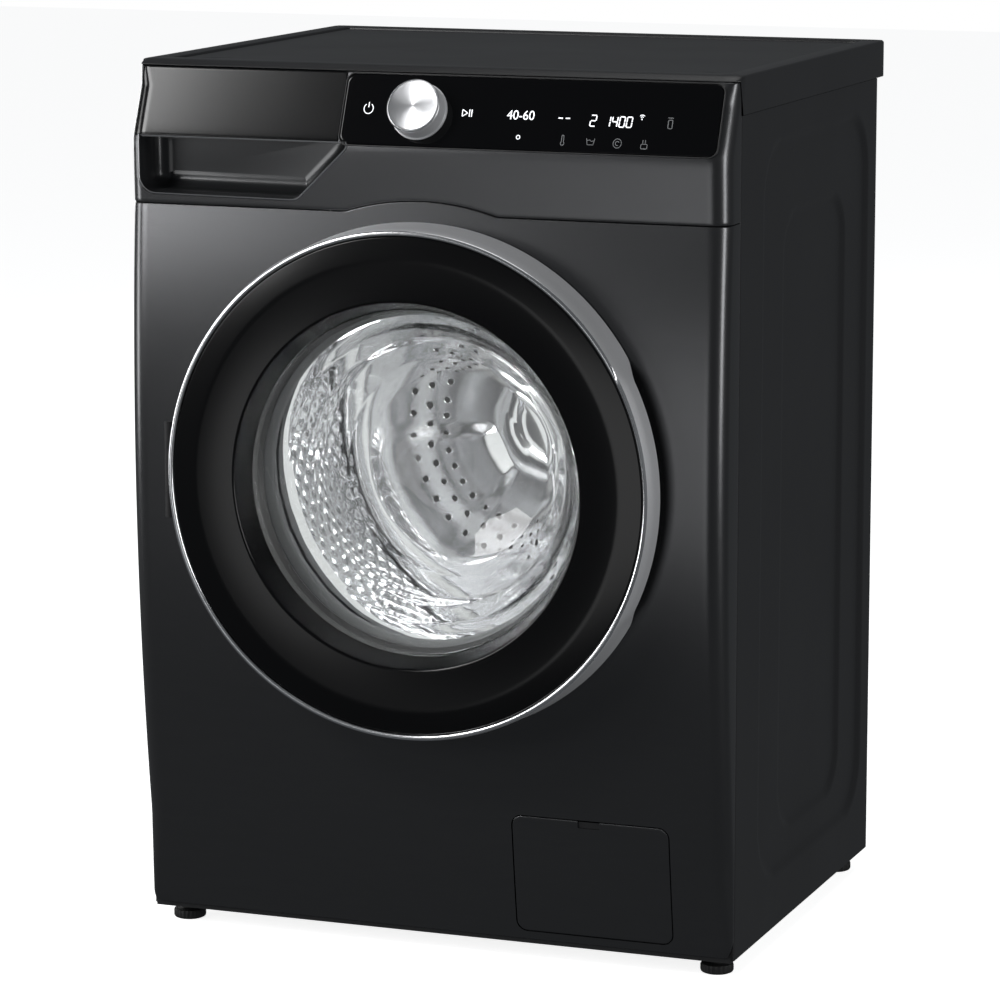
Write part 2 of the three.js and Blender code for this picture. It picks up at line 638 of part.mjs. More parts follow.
function buildControlPanel() {
  const hump = FASCIA_SEAM_Z - 6;
  const heights = [hump, 735, LEDGE_Z - 3, LEDGE_Z, FASCIA_TOP_Z];
  const shell = wrappedShell(heights, fasciaY, FASCIA_WALL);
  const liner = prismY(pocketOutline(POCKET_WALL), [LEDGE_Y + 4, POCKET_BACK_Y + POCKET_WALL]);
  const pocket = prismY(pocketOutline(0), [-10, POCKET_BACK_Y]);
  const drawerHole = block([DRAWER_LEFT_X - GAP, DRAWER_RIGHT_X + GAP], [-10, 60],
    [LEDGE_Z + 2, CABINET_HEIGHT]);
  const glassSeat = displaySlab(GAP, DISPLAY_THICKNESS + FIT);
  const window = ontoFascia(block([-70, 110], [-1, 20], [-15, 15]), 150, LEDGE_Z + 36);
  const dialBore = ontoFascia(rodY(DIAL_BORE_RADIUS, 0, 0, [-1, 20], 20), DIAL_X, DIAL_Z);
  return shell.add(liner).subtract(belowSeam(GAP / 2))
    .subtract(union(pocket, drawerHole, glassSeat, window, dialBore));
}

/** The display's slab on the leaning face, grown by a margin in its plane. */
function displaySlab(margin, thickness) {
  const low = LEDGE_Z + 1.5;
  const run = (FASCIA_TOP_Z - 2 - low) / Math.cos(LEAN);
  const outline = roundedRectangle([DISPLAY_LEFT_X - margin, DISPLAY_RIGHT_X + margin],
    [-margin, run + margin], 8 + margin, 4);
  return ontoFascia(prismY(outline, [-FIT, thickness]), 0, low);
}

function buildDisplayGlass() {
  const bore = ontoFascia(rodY(DIAL_BORE_RADIUS, 0, 0, [-2, 20], 20), DIAL_X, DIAL_Z);
  return displaySlab(0, DISPLAY_THICKNESS).subtract(bore);
}

function buildControlBoard() {
  return block(BOARD_X, BOARD_Y, BOARD_Z);
}

function buildProgramDial() {
  const skirt = DIAL_RADIUS + DIAL_SKIRT;
  const stem = DIAL_STEM_RADIUS;
  const top = -DIAL_HEIGHT;
  const profile = [[0, top + 1], [DIAL_RADIUS - 2, top + 0.4], [DIAL_RADIUS - 1.4, top],
    [DIAL_RADIUS - 0.6, top + 0.6], [DIAL_RADIUS, -3], [skirt, -2], [skirt, -0.8],
    [stem, -0.8], [stem, 16], [0, 16]];
  return ontoFascia(turnedY(profile, 0, 0, 28), DIAL_X, DIAL_Z);
}

function buildDrawerFront() {
  const shell = wrappedShell([LEDGE_Z + 2 + GAP, FASCIA_TOP_Z - 0.2], fasciaY, DRAWER_FRONT_WALL);
  return shell.intersect(block([DRAWER_LEFT_X, DRAWER_RIGHT_X], [-10, 60], [0, CABINET_HEIGHT]));
}

function buildDrawerTray() {
  const [left, right] = [TRAY_CENTRE_X - TRAY_WIDTH / 2, TRAY_CENTRE_X + TRAY_WIDTH / 2];
  const [front, rear] = [TRAY_FRONT_Y, TRAY_REAR_Y];
  const top = TRAY_BOTTOM_Z + TRAY_HEIGHT;
  const shell = block([left, right], [front, rear], [TRAY_BOTTOM_Z, top]);
  const bays = [[0, 0.36], [0.36, 0.62], [0.62, 1]].map(([a, b]) => block(
    [left + TRAY_WIDTH * a + TRAY_WALL, left + TRAY_WIDTH * b - (b < 1 ? 0 : TRAY_WALL)],
    [front + TRAY_WALL, rear - TRAY_WALL], [TRAY_BOTTOM_Z + TRAY_WALL, top + 1]));
  const bracketFace = fasciaY(TRAY_BRACKET_Z) + DRAWER_FRONT_WALL + 3;
  const bracket = block([left + 20, right - 20], [bracketFace - 8, front + 1], [TRAY_BRACKET_Z, top]);
  const behindFront = (z) => fasciaY(z) + DRAWER_FRONT_WALL + DRAWER_FRONT_CLEARANCE;
  const [low, high] = [LEDGE_Z + 2, CABINET_HEIGHT - 4];
  const frontPlane = prismX([[-20, low], [behindFront(low), low], [behindFront(high), high], [-20, high]],
    [left - 5, right + 5]);
  return shell.subtract(union(...bays)).add(bracket.subtract(frontPlane));
}

function buildDispenserHousing() {
  const side = TRAY_WIDTH / 2 + 2;
  const wall = HOUSING_WALL;
  const [front, rear] = [TRAY_FRONT_Y + 4, TRAY_REAR_Y + 10];
  const [low, high] = [TRAY_BOTTOM_Z - 5, HOUSING_TOP_Z];
  const shell = block([TRAY_CENTRE_X - side - wall, TRAY_CENTRE_X + side + wall], [front, rear + wall],
    [low - wall, high]);
  const inside = block([TRAY_CENTRE_X - side, TRAY_CENTRE_X + side], [front - 1, rear], [low, high - wall]);
  const [x, y] = [DISPENSER_HOSE_X, DISPENSER_HOSE_Y];
  const spout = rodZ(SOCKET_RADIUS, x, y, [low - HOUSING_SPOUT, low - wall + 1], 20);
  const bore = rodZ(SOCKET_BORE_RADIUS, x, y, [low - HOUSING_SPOUT - 6, low + 1], 20);
  const inlet = rodY(9, TRAY_CENTRE_X, SPIGOT_Z, [rear + 1, rear + wall + SPIGOT_LENGTH], 16);
  return shell.add(spout).add(inlet).subtract(union(inside, bore));
}

// ---------------------------------------------------------------- tub and its suspension

/** Two ears on a tub half, one each side, for the springs. */
function springEars() {
  return [-1, 1].map((side) => {
    const eye = rodY(4.5, side * SPRING_X, SPRING_BOTTOM_Z - 12, [SPRING_Y - 10, SPRING_Y + 10], 12);
    const ear = block([side * SPRING_X - 8, side * SPRING_X + 8], [SPRING_Y - 5, SPRING_Y + 5],
      [DRUM_Z + 90, SPRING_BOTTOM_Z - SPRING_WIRE - 0.6]);
    return ear.subtract(eye);
  });
}

function buildTubFront() {
  const inner = TUB_RADIUS - TUB_WALL;
  const profile = [[NECK_RADIUS, NECK_FRONT_Y], [NECK_RADIUS, TUB_FRONT_Y], [TUB_RADIUS - 10, TUB_FRONT_Y],
    [TUB_RADIUS, TUB_FRONT_Y + 10], [TUB_RADIUS, TUB_JOINT_Y - 5], [TUB_RADIUS + TUB_FLANGE, TUB_JOINT_Y - 5],
    [TUB_RADIUS + TUB_FLANGE, TUB_JOINT_Y - FIT], [inner, TUB_JOINT_Y - FIT],
    [inner, TUB_FRONT_Y + 12], [inner - 8, TUB_FRONT_Y + TUB_WALL],
    [NECK_RADIUS - TUB_WALL, TUB_FRONT_Y + TUB_WALL], [NECK_RADIUS - TUB_WALL, NECK_FRONT_Y]];
  const shell = turnedY(profile, 0, DRUM_Z, TUB_SIDES);
  const low = DRUM_Z - Math.sqrt(TUB_RADIUS ** 2 - SUMP_X ** 2);
  const sump = rodZ(20, SUMP_X, SUMP_Y, [SUMP_TOP_Z, low + 6], 20);
  const sumpBore = rodZ(16, SUMP_X, SUMP_Y, [SUMP_TOP_Z - 1, low + 20], 20);
  const lugs = [-1, 1].map((side) => damperLug(side));
  const cavity = rodY(inner, 0, DRUM_Z, [TUB_FRONT_Y + 12, TUB_JOINT_Y + 1], TUB_SIDES);
  const inlet = dispenserSocket();
  return union(shell, sump.subtract(cavity), ...lugs.map((lug) => lug.subtract(cavity)),
    inlet[0].subtract(cavity)).subtract(union(sumpBore, inlet[1]));
}

/** Socket on the tub's shoulder for the dispenser hose: its wall and its bore. */
function dispenserSocket() {
  const low = DRUM_Z + Math.sqrt(TUB_RADIUS ** 2 - DISPENSER_HOSE_X ** 2);
  const [x, y] = [DISPENSER_HOSE_X, DISPENSER_HOSE_Y];
  return [rodZ(SOCKET_RADIUS, x, y, [low - 30, DISPENSER_SOCKET_Z], 20),
    rodZ(SOCKET_BORE_RADIUS, x, y, [low - 60, DISPENSER_SOCKET_Z + 1], 20)];
}

/** Lug under the tub that holds the top of one damper rod. */
function damperLug(side) {
  return block([side * DAMPER_X - 9, side * DAMPER_X + 9], [DAMPER_Y - 9, DAMPER_Y + 9],
    [DAMPER_ROD_TOP_Z + FIT, DRUM_Z - TUB_RADIUS / 2]);
}

function buildTubRear() {
  const inner = TUB_RADIUS - TUB_WALL;
  const profile = [[0, TUB_REAR_Y - TUB_WALL], [inner - 8, TUB_REAR_Y - TUB_WALL], [inner, TUB_REAR_Y - 12],
    [inner, TUB_JOINT_Y], [TUB_RADIUS + TUB_FLANGE, TUB_JOINT_Y], [TUB_RADIUS + TUB_FLANGE, TUB_JOINT_Y + 5],
    [TUB_RADIUS, TUB_JOINT_Y + 5], [TUB_RADIUS, TUB_REAR_Y - 10], [TUB_RADIUS - 10, TUB_REAR_Y],
    [0, TUB_REAR_Y]];
  const hub = rodY(HUB_RADIUS, 0, DRUM_Z, [HUB_FRONT_Y, HUB_REAR_Y], 32);
  const bore = rodY(SHAFT_RADIUS + 6, 0, DRUM_Z, [HUB_FRONT_Y - 1, HUB_REAR_Y + 1], 32);
  const seats = [HUB_FRONT_Y + 2, HUB_REAR_Y - 2 - BEARING_WIDTH].map((y, i) => rodY(BEARING_RADIUS + FIT, 0,
    DRUM_Z, i ? [y - FIT, HUB_REAR_Y + 1] : [HUB_FRONT_Y - 1, y + BEARING_WIDTH + FIT], 32));
  const ribs = Array.from({ length: 6 }, (_, i) => block([-3, 3], [TUB_REAR_Y - 1, TUB_REAR_Y + 14],
    [HUB_RADIUS - 4, TUB_RADIUS - 22]).rotate([0, i * 60, 0]).translate([0, 0, DRUM_Z]));
  const cavity = rodY(inner, 0, DRUM_Z, [TUB_JOINT_Y - 1, TUB_REAR_Y - 12], TUB_SIDES);
  const heaterHole = block([-HEATER_HALF_SPAN - 9, HEATER_HALF_SPAN + 9], [TUB_REAR_Y - 12, TUB_REAR_Y + 12],
    [HEATER_Z - 8, HEATER_Z + 8]);
  const ears = springEars().map((ear) => ear.subtract(cavity));
  return union(turnedY(profile, 0, DRUM_Z, TUB_SIDES), hub, ...ribs, ...ears)
    .subtract(union(bore, ...seats, heaterHole));
}

function buildFrontCounterweight() {
  const inner = NECK_RADIUS + 13;
  const profile = [[inner, NECK_FRONT_Y - 2], [inner, TUB_FRONT_Y - FIT], [TUB_RADIUS - 11, TUB_FRONT_Y - FIT],
    [TUB_RADIUS - 5, NECK_FRONT_Y + 6], [TUB_RADIUS - 12, NECK_FRONT_Y - 2]];
  return turnedY(profile, 0, DRUM_Z, TUB_SIDES);
}

function buildTopCounterweight() {
  const saddle = rodY(TUB_RADIUS + TUB_FLANGE + 1, 0, DRUM_Z, [0, CABINET_REAR_Y], 48);
  const slab = prismY([[-60, DRUM_Z + 240], [150, DRUM_Z + 200], [150, DRUM_Z + 292], [138, DRUM_Z + 304],
    [-48, DRUM_Z + 304], [-60, DRUM_Z + 292]], [130, 296]);
  return slab.subtract(saddle);
}

function buildHeater() {
  const [near, far] = [TUB_JOINT_Y - 110, TUB_REAR_Y + 6];
  const span = HEATER_HALF_SPAN;
  const rod = tube([[-span, far, HEATER_Z], [-span, near + 60, HEATER_Z], [-span, near + 22, HEATER_Z],
    [-span * 0.6, near + 4, HEATER_Z], [0, near, HEATER_Z], [span * 0.6, near + 4, HEATER_Z],
    [span, near + 22, HEATER_Z], [span, near + 60, HEATER_Z], [span, far, HEATER_Z]], 3.5, 24, 5);
  const plug = block([-span - 8, span + 8], [TUB_REAR_Y - 11, TUB_REAR_Y + 8], [HEATER_Z - 7, HEATER_Z + 7]);
  const terminals = [-1, 1].map((side) => block([side * span - 3, side * span + 3],
    [TUB_REAR_Y + 7, TUB_REAR_Y + 20], [HEATER_Z - 0.8, HEATER_Z + 0.8]));
  return union(rod, plug, ...terminals);
}

/** Ring bearing whose front face is at y. */
function buildBearing(y) {
  const inner = SHAFT_RADIUS / Math.cos(Math.PI / 24) + FIT;
  return turnedY([[inner, y], [BEARING_RADIUS, y], [BEARING_RADIUS, y + BEARING_WIDTH],
    [inner, y + BEARING_WIDTH]], 0, DRUM_Z, 24);
}

function buildDriveMotor() {
  const [front, rear] = [MOTOR_FRONT_Y, MOTOR_REAR_Y];
  const can = rodY(MOTOR_RADIUS, MOTOR_X, MOTOR_Z, [front, rear], 28);
  const saddle = rodY(TUB_RADIUS + 1, 0, DRUM_Z, [front - 20, rear + 20], 48);
  const reach = TUB_RADIUS + MOTOR_RADIUS;
  const mount = block([-14, 14], [front + 20, front + 60], [-reach, -TUB_RADIUS + 6])
    .rotate([0, -THREE.MathUtils.radToDeg(Math.asin(MOTOR_X / (reach + MOTOR_STANDOFF))), 0])
    .translate([0, 0, DRUM_Z]);
  const bore = rodY(7.4, MOTOR_X, MOTOR_Z, [rear - 20, rear + 1], 16);
  return can.add(mount).subtract(union(saddle, bore));
}

function buildDriveBelt() {
  const loop = (grow) => {
    const [r1, r2] = [DRUM_PULLEY_RADIUS + 0.5 + grow, MOTOR_PULLEY_RADIUS + 0.5 + grow];
    const [dx, dz] = [MOTOR_X, MOTOR_Z - DRUM_Z];
    const heading = Math.atan2(dz, dx);
    const wrap = Math.acos((r1 - r2) / Math.hypot(dx, dz));
    const arc = (cx, cz, radius, from, to, steps) => Array.from({ length: steps + 1 }, (_, i) => {
      const angle = from + (to - from) * i / steps;
      return [cx + radius * Math.cos(angle), cz + radius * Math.sin(angle)];
    });
    return [...arc(0, DRUM_Z, r1, heading + wrap, heading + 2 * Math.PI - wrap, 30),
      ...arc(MOTOR_X, MOTOR_Z, r2, heading - wrap, heading + wrap, 8)];
  };
  const width = [PULLEY_FRONT_Y + 2, PULLEY_FRONT_Y + PULLEY_WIDTH - 2];
  return prismY(loop(BELT_THICKNESS), width).subtract(prismY(loop(0), [width[0] - 1, width[1] + 1]));
}

function buildDamperTube(side) {
  const [low, high] = [BASE_FLOOR_Z + FIT, 150];
  const profile = [[0, low], [DAMPER_TUBE_RADIUS, low], [DAMPER_TUBE_RADIUS, high],
    [DAMPER_ROD_RADIUS + 1, high], [DAMPER_ROD_RADIUS + 1, low + 8], [0, low + 8]];
  return turnedZ(profile, side * DAMPER_X, DAMPER_Y, 20);
}

function buildDamperRod(side) {
  return rodZ(DAMPER_ROD_RADIUS, side * DAMPER_X, DAMPER_Y, [BASE_FLOOR_Z + 34, DAMPER_ROD_TOP_Z], 16);
}

function buildSpring(side) {
  const turns = Array.from({ length: SPRING_TURNS * 6 + 1 }, (_, i) => {
    const angle = i * Math.PI / 3;
    const z = SPRING_BOTTOM_Z + (SPRING_TOP_Z - SPRING_BOTTOM_Z) * i / (SPRING_TURNS * 6);
    return [side * SPRING_X + SPRING_RADIUS * Math.cos(angle), SPRING_Y + SPRING_RADIUS * Math.sin(angle), z];
  });
  return tube(turns, SPRING_WIRE, SPRING_TURNS * 7, 4);
}

// ---------------------------------------------------------------- drum and drive

function buildDrum() {
  const [front, rear, outer] = [DRUM_FRONT_Y, DRUM_REAR_Y, DRUM_RADIUS];
  const wall = DRUM_WALL;
  const profile = [[0, rear], [outer - 8, rear], [outer, rear - 8], [outer, front + 14], [outer - 14, front],
    [DRUM_MOUTH_RADIUS + 4, front - 6], [DRUM_MOUTH_RADIUS, front - 3], [DRUM_MOUTH_RADIUS, front],
    [DRUM_MOUTH_RADIUS + 4, front - 6 + wall], [outer - 14 - wall, front + wall], [outer - wall, front + 15],
    [outer - wall, rear - 9], [outer - 9, rear - wall], [0, rear - wall]];
  return turnedY(profile, 0, DRUM_Z, TUB_SIDES);
}

/** One lifter rib on the drum wall, turned to its place by index. */
function buildLifter(index) {
  const root = (DRUM_RADIUS - DRUM_WALL) * Math.cos(Math.PI / TUB_SIDES) - FIT;
  const middle = (DRUM_FRONT_Y + DRUM_REAR_Y) / 2 + 2;
  const [front, rear] = [middle - LIFTER_LENGTH / 2, middle + LIFTER_LENGTH / 2];
  const row = (y, height, half) => [[-half, -root + 7], [-half * 0.36, -root + height],
    [half * 0.36, -root + height], [half, -root + 7], [half * 0.9, -root + 3.5], [-half * 0.9, -root + 3.5]]
    .map(([x, z]) => new THREE.Vector3(x, y, z));
  const rib = loft([row(front, LIFTER_HEIGHT * 0.5, 22), row(front + 22, LIFTER_HEIGHT, 28),
    row(rear - 22, LIFTER_HEIGHT, 28), row(rear, LIFTER_HEIGHT * 0.5, 22)]);
  return rib.rotate([0, index * 360 / LIFTER_COUNT, 0]).translate([0, 0, DRUM_Z]);
}

function buildDrumSpider() {
  const [front, rear] = [DRUM_REAR_Y + FIT, DRUM_REAR_Y + 15];
  const hub = rodY(34, 0, DRUM_Z, [front, rear], 28);
  const arms = Array.from({ length: LIFTER_COUNT }, (_, i) => prismY([[-20, -20], [-11, -DRUM_RADIUS + 16],
    [11, -DRUM_RADIUS + 16], [20, -20]], [front, rear - 3]).rotate([0, i * 360 / LIFTER_COUNT, 0])
    .translate([0, 0, DRUM_Z]));
  const bore = rodY(SHAFT_RADIUS + FIT + 0.1, 0, DRUM_Z, [front - 1, rear + 1], 32);
  return union(hub, ...arms).subtract(bore);
}

function buildDrumShaft() {
  const nose = PULLEY_FRONT_Y - 1;
  return turnedY([[0, DRUM_REAR_Y + FIT], [SHAFT_RADIUS, DRUM_REAR_Y + FIT], [SHAFT_RADIUS, nose],
    [SHAFT_NOSE_RADIUS, nose], [SHAFT_NOSE_RADIUS, nose + PULLEY_WIDTH + 6], [0, nose + PULLEY_WIDTH + 6]],
  0, DRUM_Z, 24);
}

function buildDrumPulley() {
  const [front, rear] = [PULLEY_FRONT_Y, PULLEY_FRONT_Y + PULLEY_WIDTH];
  const bore = SHAFT_NOSE_RADIUS + FIT + 0.1;
  const middle = (front + rear) / 2;
  const rim = DRUM_PULLEY_RADIUS;
  const profile = [[bore, front], [30, front], [rim - 10, middle - 2], [rim - 8, front], [rim, front],
    [rim, rear], [rim - 8, rear], [rim - 10, middle + 2], [30, rear], [bore, rear]];
  return turnedY(profile, 0, DRUM_Z, 32);
}

function buildMotorPulley() {
  const [front, rear] = [PULLEY_FRONT_Y, PULLEY_FRONT_Y + PULLEY_WIDTH];
  return rodY(MOTOR_PULLEY_RADIUS, MOTOR_X, MOTOR_Z, [front, rear], 24)
    .add(rodY(7, MOTOR_X, MOTOR_Z, [MOTOR_REAR_Y - 14, front + 1], 16));
}

// ---------------------------------------------------------------- door

function buildDoorSeal() {
  const grip = NECK_RADIUS + 2.2;
  const line = [[199, 3], [199, 12], [158, 20], [165, 30], [184, 38], [grip, 64], [grip, 86]];
  return turnedY(ribbon(line, 2.6), 0, DRUM_Z, TUB_SIDES);
}

function buildTrimRing() {
  const [bead, outer] = [DOOR_BEAD_Y, TRIM_RADIUS];
  const rear = TRIM_REAR_Y;
  const flare = outer + TRIM_FLARE;
  const ring = turnedY([[outer - 5, bead + 2], [outer - 3.5, bead], [outer - 1, bead], [outer, bead + 1.5],
    [flare, 2], [flare, rear], [flare - 3.5, rear], [flare - 3.5, 2],
    [outer - 5, bead + 4]], 0, DRUM_Z, DOOR_SIDES);
  const grip = block([200, CABINET_WIDTH], [GRIP_REAR_Y, 60], [DRUM_Z - GRIP_BELOW, DRUM_Z + GRIP_ABOVE]);
  const hingeNotch = block([HINGE_X - 10, HINGE_X + 18], [HINGE_Y - KNUCKLE_RADIUS - 2, 60],
    [DRUM_Z - HINGE_HALF_HEIGHT - 4, DRUM_Z + HINGE_HALF_HEIGHT + 4]);
  return ring.subtract(union(behindPanel(TRIM_CLEARANCE), grip, hingeNotch));
}

function buildWindowRing() {
  const bead = DOOR_BEAD_Y;
  const outer = TRIM_RADIUS - 5.4;
  const rim = GLASS_RIM_RADIUS;
  return turnedY([[outer, bead + 2.6], [rim + 46, bead], [rim + 24, bead + 2], [rim + 16, bead + 6],
    [rim, bead + 27], [rim + 2, bead + 29], [rim + 19, bead + 9], [rim + 46, bead + 4],
    [outer, bead + 5]], 0, DRUM_Z, DOOR_SIDES);
}

function buildDoorGlass() {
  const rim = GLASS_RIM_RADIUS;
  const [front, back] = [-9.5, GLASS_DEPTH_Y];
  return turnedY([[0, back - 5], [60, back - 7], [100, back - 18], [126, 60], [143, 20],
    [rim - 4, front + 2], [rim + 11, front], [rim + 11, front + 4.5], [rim, front + 5.5],
    [149, 22], [132, 62], [104, back - 14.5], [61, back - 2], [0, back]], 0, DRUM_Z, 40);
}

function buildDoorInnerFrame() {
  const outer = TRIM_RADIUS - 7;
  const ring = turnedY([[180, -7], [outer, -7], [outer, -3], [191, -3], [189, 8], [165, 8], [161, 5],
    [169, -3], [180, -3.6]], 0, DRUM_Z, TUB_SIDES);
  const grip = block([221, CABINET_WIDTH], [-20, 20], [DRUM_Z - GRIP_BELOW, DRUM_Z + GRIP_ABOVE]);
  const hingeNotch = block([-CABINET_WIDTH, HINGE_X + 20], [-20, 20],
    [DRUM_Z - HINGE_HALF_HEIGHT - 4, DRUM_Z + HINGE_HALF_HEIGHT + 4]);
  return ring.subtract(union(grip, hingeNotch));
}

function buildHingeBracket() {
  const plate = block([HINGE_X - 4, HINGE_X - 4 + HINGE_PLATE_WIDTH], HINGE_PLATE_Y,
    [DRUM_Z - HINGE_HALF_HEIGHT - 6, DRUM_Z + HINGE_HALF_HEIGHT + 6]);
  const ears = [-1, 1].flatMap((side) => {
    const zs = [side * (HINGE_ARM_HALF_HEIGHT + GAP), side * HINGE_HALF_HEIGHT].sort((a, b) => a - b)
      .map((z) => z + DRUM_Z);
    const arm = block([HINGE_X - 3, HINGE_X + 1], [HINGE_Y, 5], zs);
    return [arm, rodZ(KNUCKLE_RADIUS, HINGE_X, HINGE_Y, zs, 18)];
  });
  const pin = rodZ(HINGE_PIN_RADIUS, HINGE_X, HINGE_Y,
    [DRUM_Z - HINGE_HALF_HEIGHT, DRUM_Z + HINGE_HALF_HEIGHT], 14);
  return union(plate, ...ears, pin);
}

function buildHingeArm() {
  const half = HINGE_ARM_HALF_HEIGHT;
  const knuckle = rodZ(KNUCKLE_RADIUS, HINGE_X, HINGE_Y, [DRUM_Z - half, DRUM_Z + half], 18);
  const webZ = [DRUM_Z - half + 3, DRUM_Z + half - 3];
  const web = block([HINGE_X, HINGE_WEB_X[1]], [HINGE_Y - 2, HINGE_Y + 2], webZ);
  const drop = block(HINGE_WEB_X, [HINGE_Y - 2, HINGE_LEAF_Y[1]], webZ);
  const leaf = block(HINGE_LEAF_X, HINGE_LEAF_Y, [DRUM_Z - half - 14, DRUM_Z + half + 14]);
  const bore = rodZ(HINGE_PIN_RADIUS + FIT, HINGE_X, HINGE_Y, [DRUM_Z - 60, DRUM_Z + 60], 16);
  return union(knuckle, web, drop, leaf).subtract(bore);
}

function buildLatchHook() {
  const outline = [[-2, -2.2], [2, -2.2], [2, 9], [4, 12], [-2, 19]];
  return prismZ(outline.map(([x, y]) => [LATCH_X + x, y]), [DRUM_Z - 9, DRUM_Z + 9]);
}

function buildDoorLock() {
  const body = block(LOCK_X, LOCK_Y, [DRUM_Z - LOCK_HALF_HEIGHT, DRUM_Z + LOCK_HALF_HEIGHT]);
  const half = LATCH_SLOT_HALF_HEIGHT - 3;
  const mouth = block([LATCH_X - LATCH_SLOT, LATCH_X + LATCH_SLOT + 1], [0, LOCK_MOUTH_REAR_Y],
    [DRUM_Z - half, DRUM_Z + half]);
  return body.subtract(mouth);
}

// ---------------------------------------------------------------- service flap, pump, plumbing

function buildFilterFlap() {
  const heights = heightsBetween(FLAP_BOTTOM_Z - 4, FLAP_TOP_Z + 4, 4);
  const shell = wrappedShell(heights, frontY, FLAP_WALL);
  const slot = block([FLAP_LEFT_X + 66, FLAP_LEFT_X + 88], [-5, 60], [FLAP_TOP_Z - 7, FLAP_TOP_Z + 5]);
  return shell.intersect(prismY(flapOutline(0), [-10, 80])).subtract(slot);
}

function buildFilterCap() {
  const [rim, front, rear] = [FILTER_CAP_RADIUS, FILTER_CAP_FRONT_Y, FILTER_CAP_FRONT_Y + 12];
  const disc = turnedY([[0, front], [rim - 2, front], [rim, front + 2], [rim, rear], [0, rear]],
    PUMP_X, PUMP_Z, 28);
  return disc.add(block([PUMP_X - 4, PUMP_X + 4], [front - 8, front + 1], [PUMP_Z - 22, PUMP_Z + 22]));
}

function buildDrainPump() {
  const chamber = rodY(32, PUMP_X, PUMP_Z, [PUMP_FRONT_Y, PUMP_JOINT_Y], 28);
  const motor = rodY(25, PUMP_X, PUMP_Z, [PUMP_JOINT_Y - 1, PUMP_REAR_Y], 24);
  const foot = block([PUMP_X - 30, PUMP_X + 30], [76, 132], [BASE_FLOOR_Z + FIT, PUMP_Z - 20]);
  const inlet = solid(new THREE.CylinderGeometry(PUMP_INLET_RADIUS, PUMP_INLET_RADIUS, 20, 16)
    .rotateZ(Math.PI / 2).translate(PUMP_X - PUMP_INLET_REACH + 10, PUMP_INLET_Y, PUMP_Z));
  const outlet = rodZ(10, PUMP_X + PUMP_OUTLET_SHIFT, PUMP_OUTLET_Y,
    [PUMP_Z + 20, PUMP_Z + PUMP_OUTLET_RISE], 16);
  return union(chamber, motor, foot, inlet, outlet);
}

function buildSumpHose() {
  return tube([[SUMP_X, SUMP_Y, SUMP_TOP_Z - FIT], [SUMP_X, SUMP_Y, SUMP_TOP_Z - 30],
    [SUMP_X + 4, SUMP_Y - 12, SUMP_TOP_Z - 66], [SUMP_X + 22, PUMP_INLET_Y + 4, PUMP_Z + 4],
    [PUMP_X - PUMP_INLET_REACH - 14, PUMP_INLET_Y, PUMP_Z],
    [PUMP_X - PUMP_INLET_REACH - FIT, PUMP_INLET_Y, PUMP_Z]], 14, 16, 10);
}

function buildDispenserHose() {
  const low = DISPENSER_SOCKET_Z + FIT;
  const high = TRAY_BOTTOM_Z - 5 - HOUSING_SPOUT - FIT;
  const folds = 4;
  const wave = Array.from({ length: folds * 2 + 1 }, (_, i) =>
    [i % 2 ? SOCKET_RADIUS + 5 : SOCKET_RADIUS, low + (high - low) * i / (folds * 2)]);
  const bore = SOCKET_BORE_RADIUS + 0.5;
  return turnedZ([...wave, [bore, high], [bore, low]], DISPENSER_HOSE_X, DISPENSER_HOSE_Y, 14);
}

function buildDrainHose() {
  const start = PUMP_Z + PUMP_OUTLET_RISE + FIT;
  const x = PUMP_X + PUMP_OUTLET_SHIFT;
  const y = PUMP_OUTLET_Y;
  return tube([[x, y, start], [x, y, start + 12], [x + 14, y + 16, start + 36],
    [250, 180, start + 36], [272, 240, 170], [272, 380, 150], [268, 440, 128], [OUTLET_X, 462, OUTLET_Z + 2],
    [OUTLET_X, 478, OUTLET_Z]], 10, 18, 8).add(drainNozzle());
}

/** The hose's moulded end, which passes through the back panel. */
function drainNozzle() {
  const inner = BACK_FRONT_Y;
  const body = rodY(14, OUTLET_X, OUTLET_Z, [470, CABINET_REAR_Y + 2], 16);
  const collar = rodY(20, OUTLET_X, OUTLET_Z, [inner + SHEET + FIT, CABINET_REAR_Y + 3], 16);
  const nozzle = rodY(11, OUTLET_X, OUTLET_Z, [CABINET_REAR_Y, CABINET_REAR_Y + 20], 16);
  const bore = rodY(8, OUTLET_X, OUTLET_Z, [CABINET_REAR_Y - 6, CABINET_REAR_Y + 21], 16);
  return union(body, collar, nozzle).subtract(bore);
}

function buildInletValve() {
  const body = block([INLET_X - 22, INLET_X + 22], [VALVE_FRONT_Y, VALVE_REAR_Y], [INLET_Z - 20, INLET_Z + 24]);
  const neck = rodY(13, INLET_X, INLET_Z, [VALVE_REAR_Y - 2, CABINET_REAR_Y + 17], 20);
  const bore = rodY(8, INLET_X, INLET_Z, [CABINET_REAR_Y - 6, CABINET_REAR_Y + 18], 20);
  const barb = rodY(8, INLET_X, INLET_Z + VALVE_BARB_RISE, [VALVE_BARB_Y, VALVE_FRONT_Y + 1], 16);
  return union(body, neck, barb).subtract(bore);
}

function buildInletHose() {
  const rear = TRAY_REAR_Y + 10 + HOUSING_WALL + SPIGOT_LENGTH + FIT;
  const [z, barbZ] = [SPIGOT_Z, INLET_Z + VALVE_BARB_RISE];
  return tube([[INLET_X, VALVE_BARB_Y - FIT, barbZ], [INLET_X, VALVE_BARB_Y - 14, barbZ],
    [INLET_X + 3, 388, z - 14],
    [TRAY_CENTRE_X - 2, 350, z], [TRAY_CENTRE_X, rear + 12, z], [TRAY_CENTRE_X, rear, z]], 8, 16, 8);
}

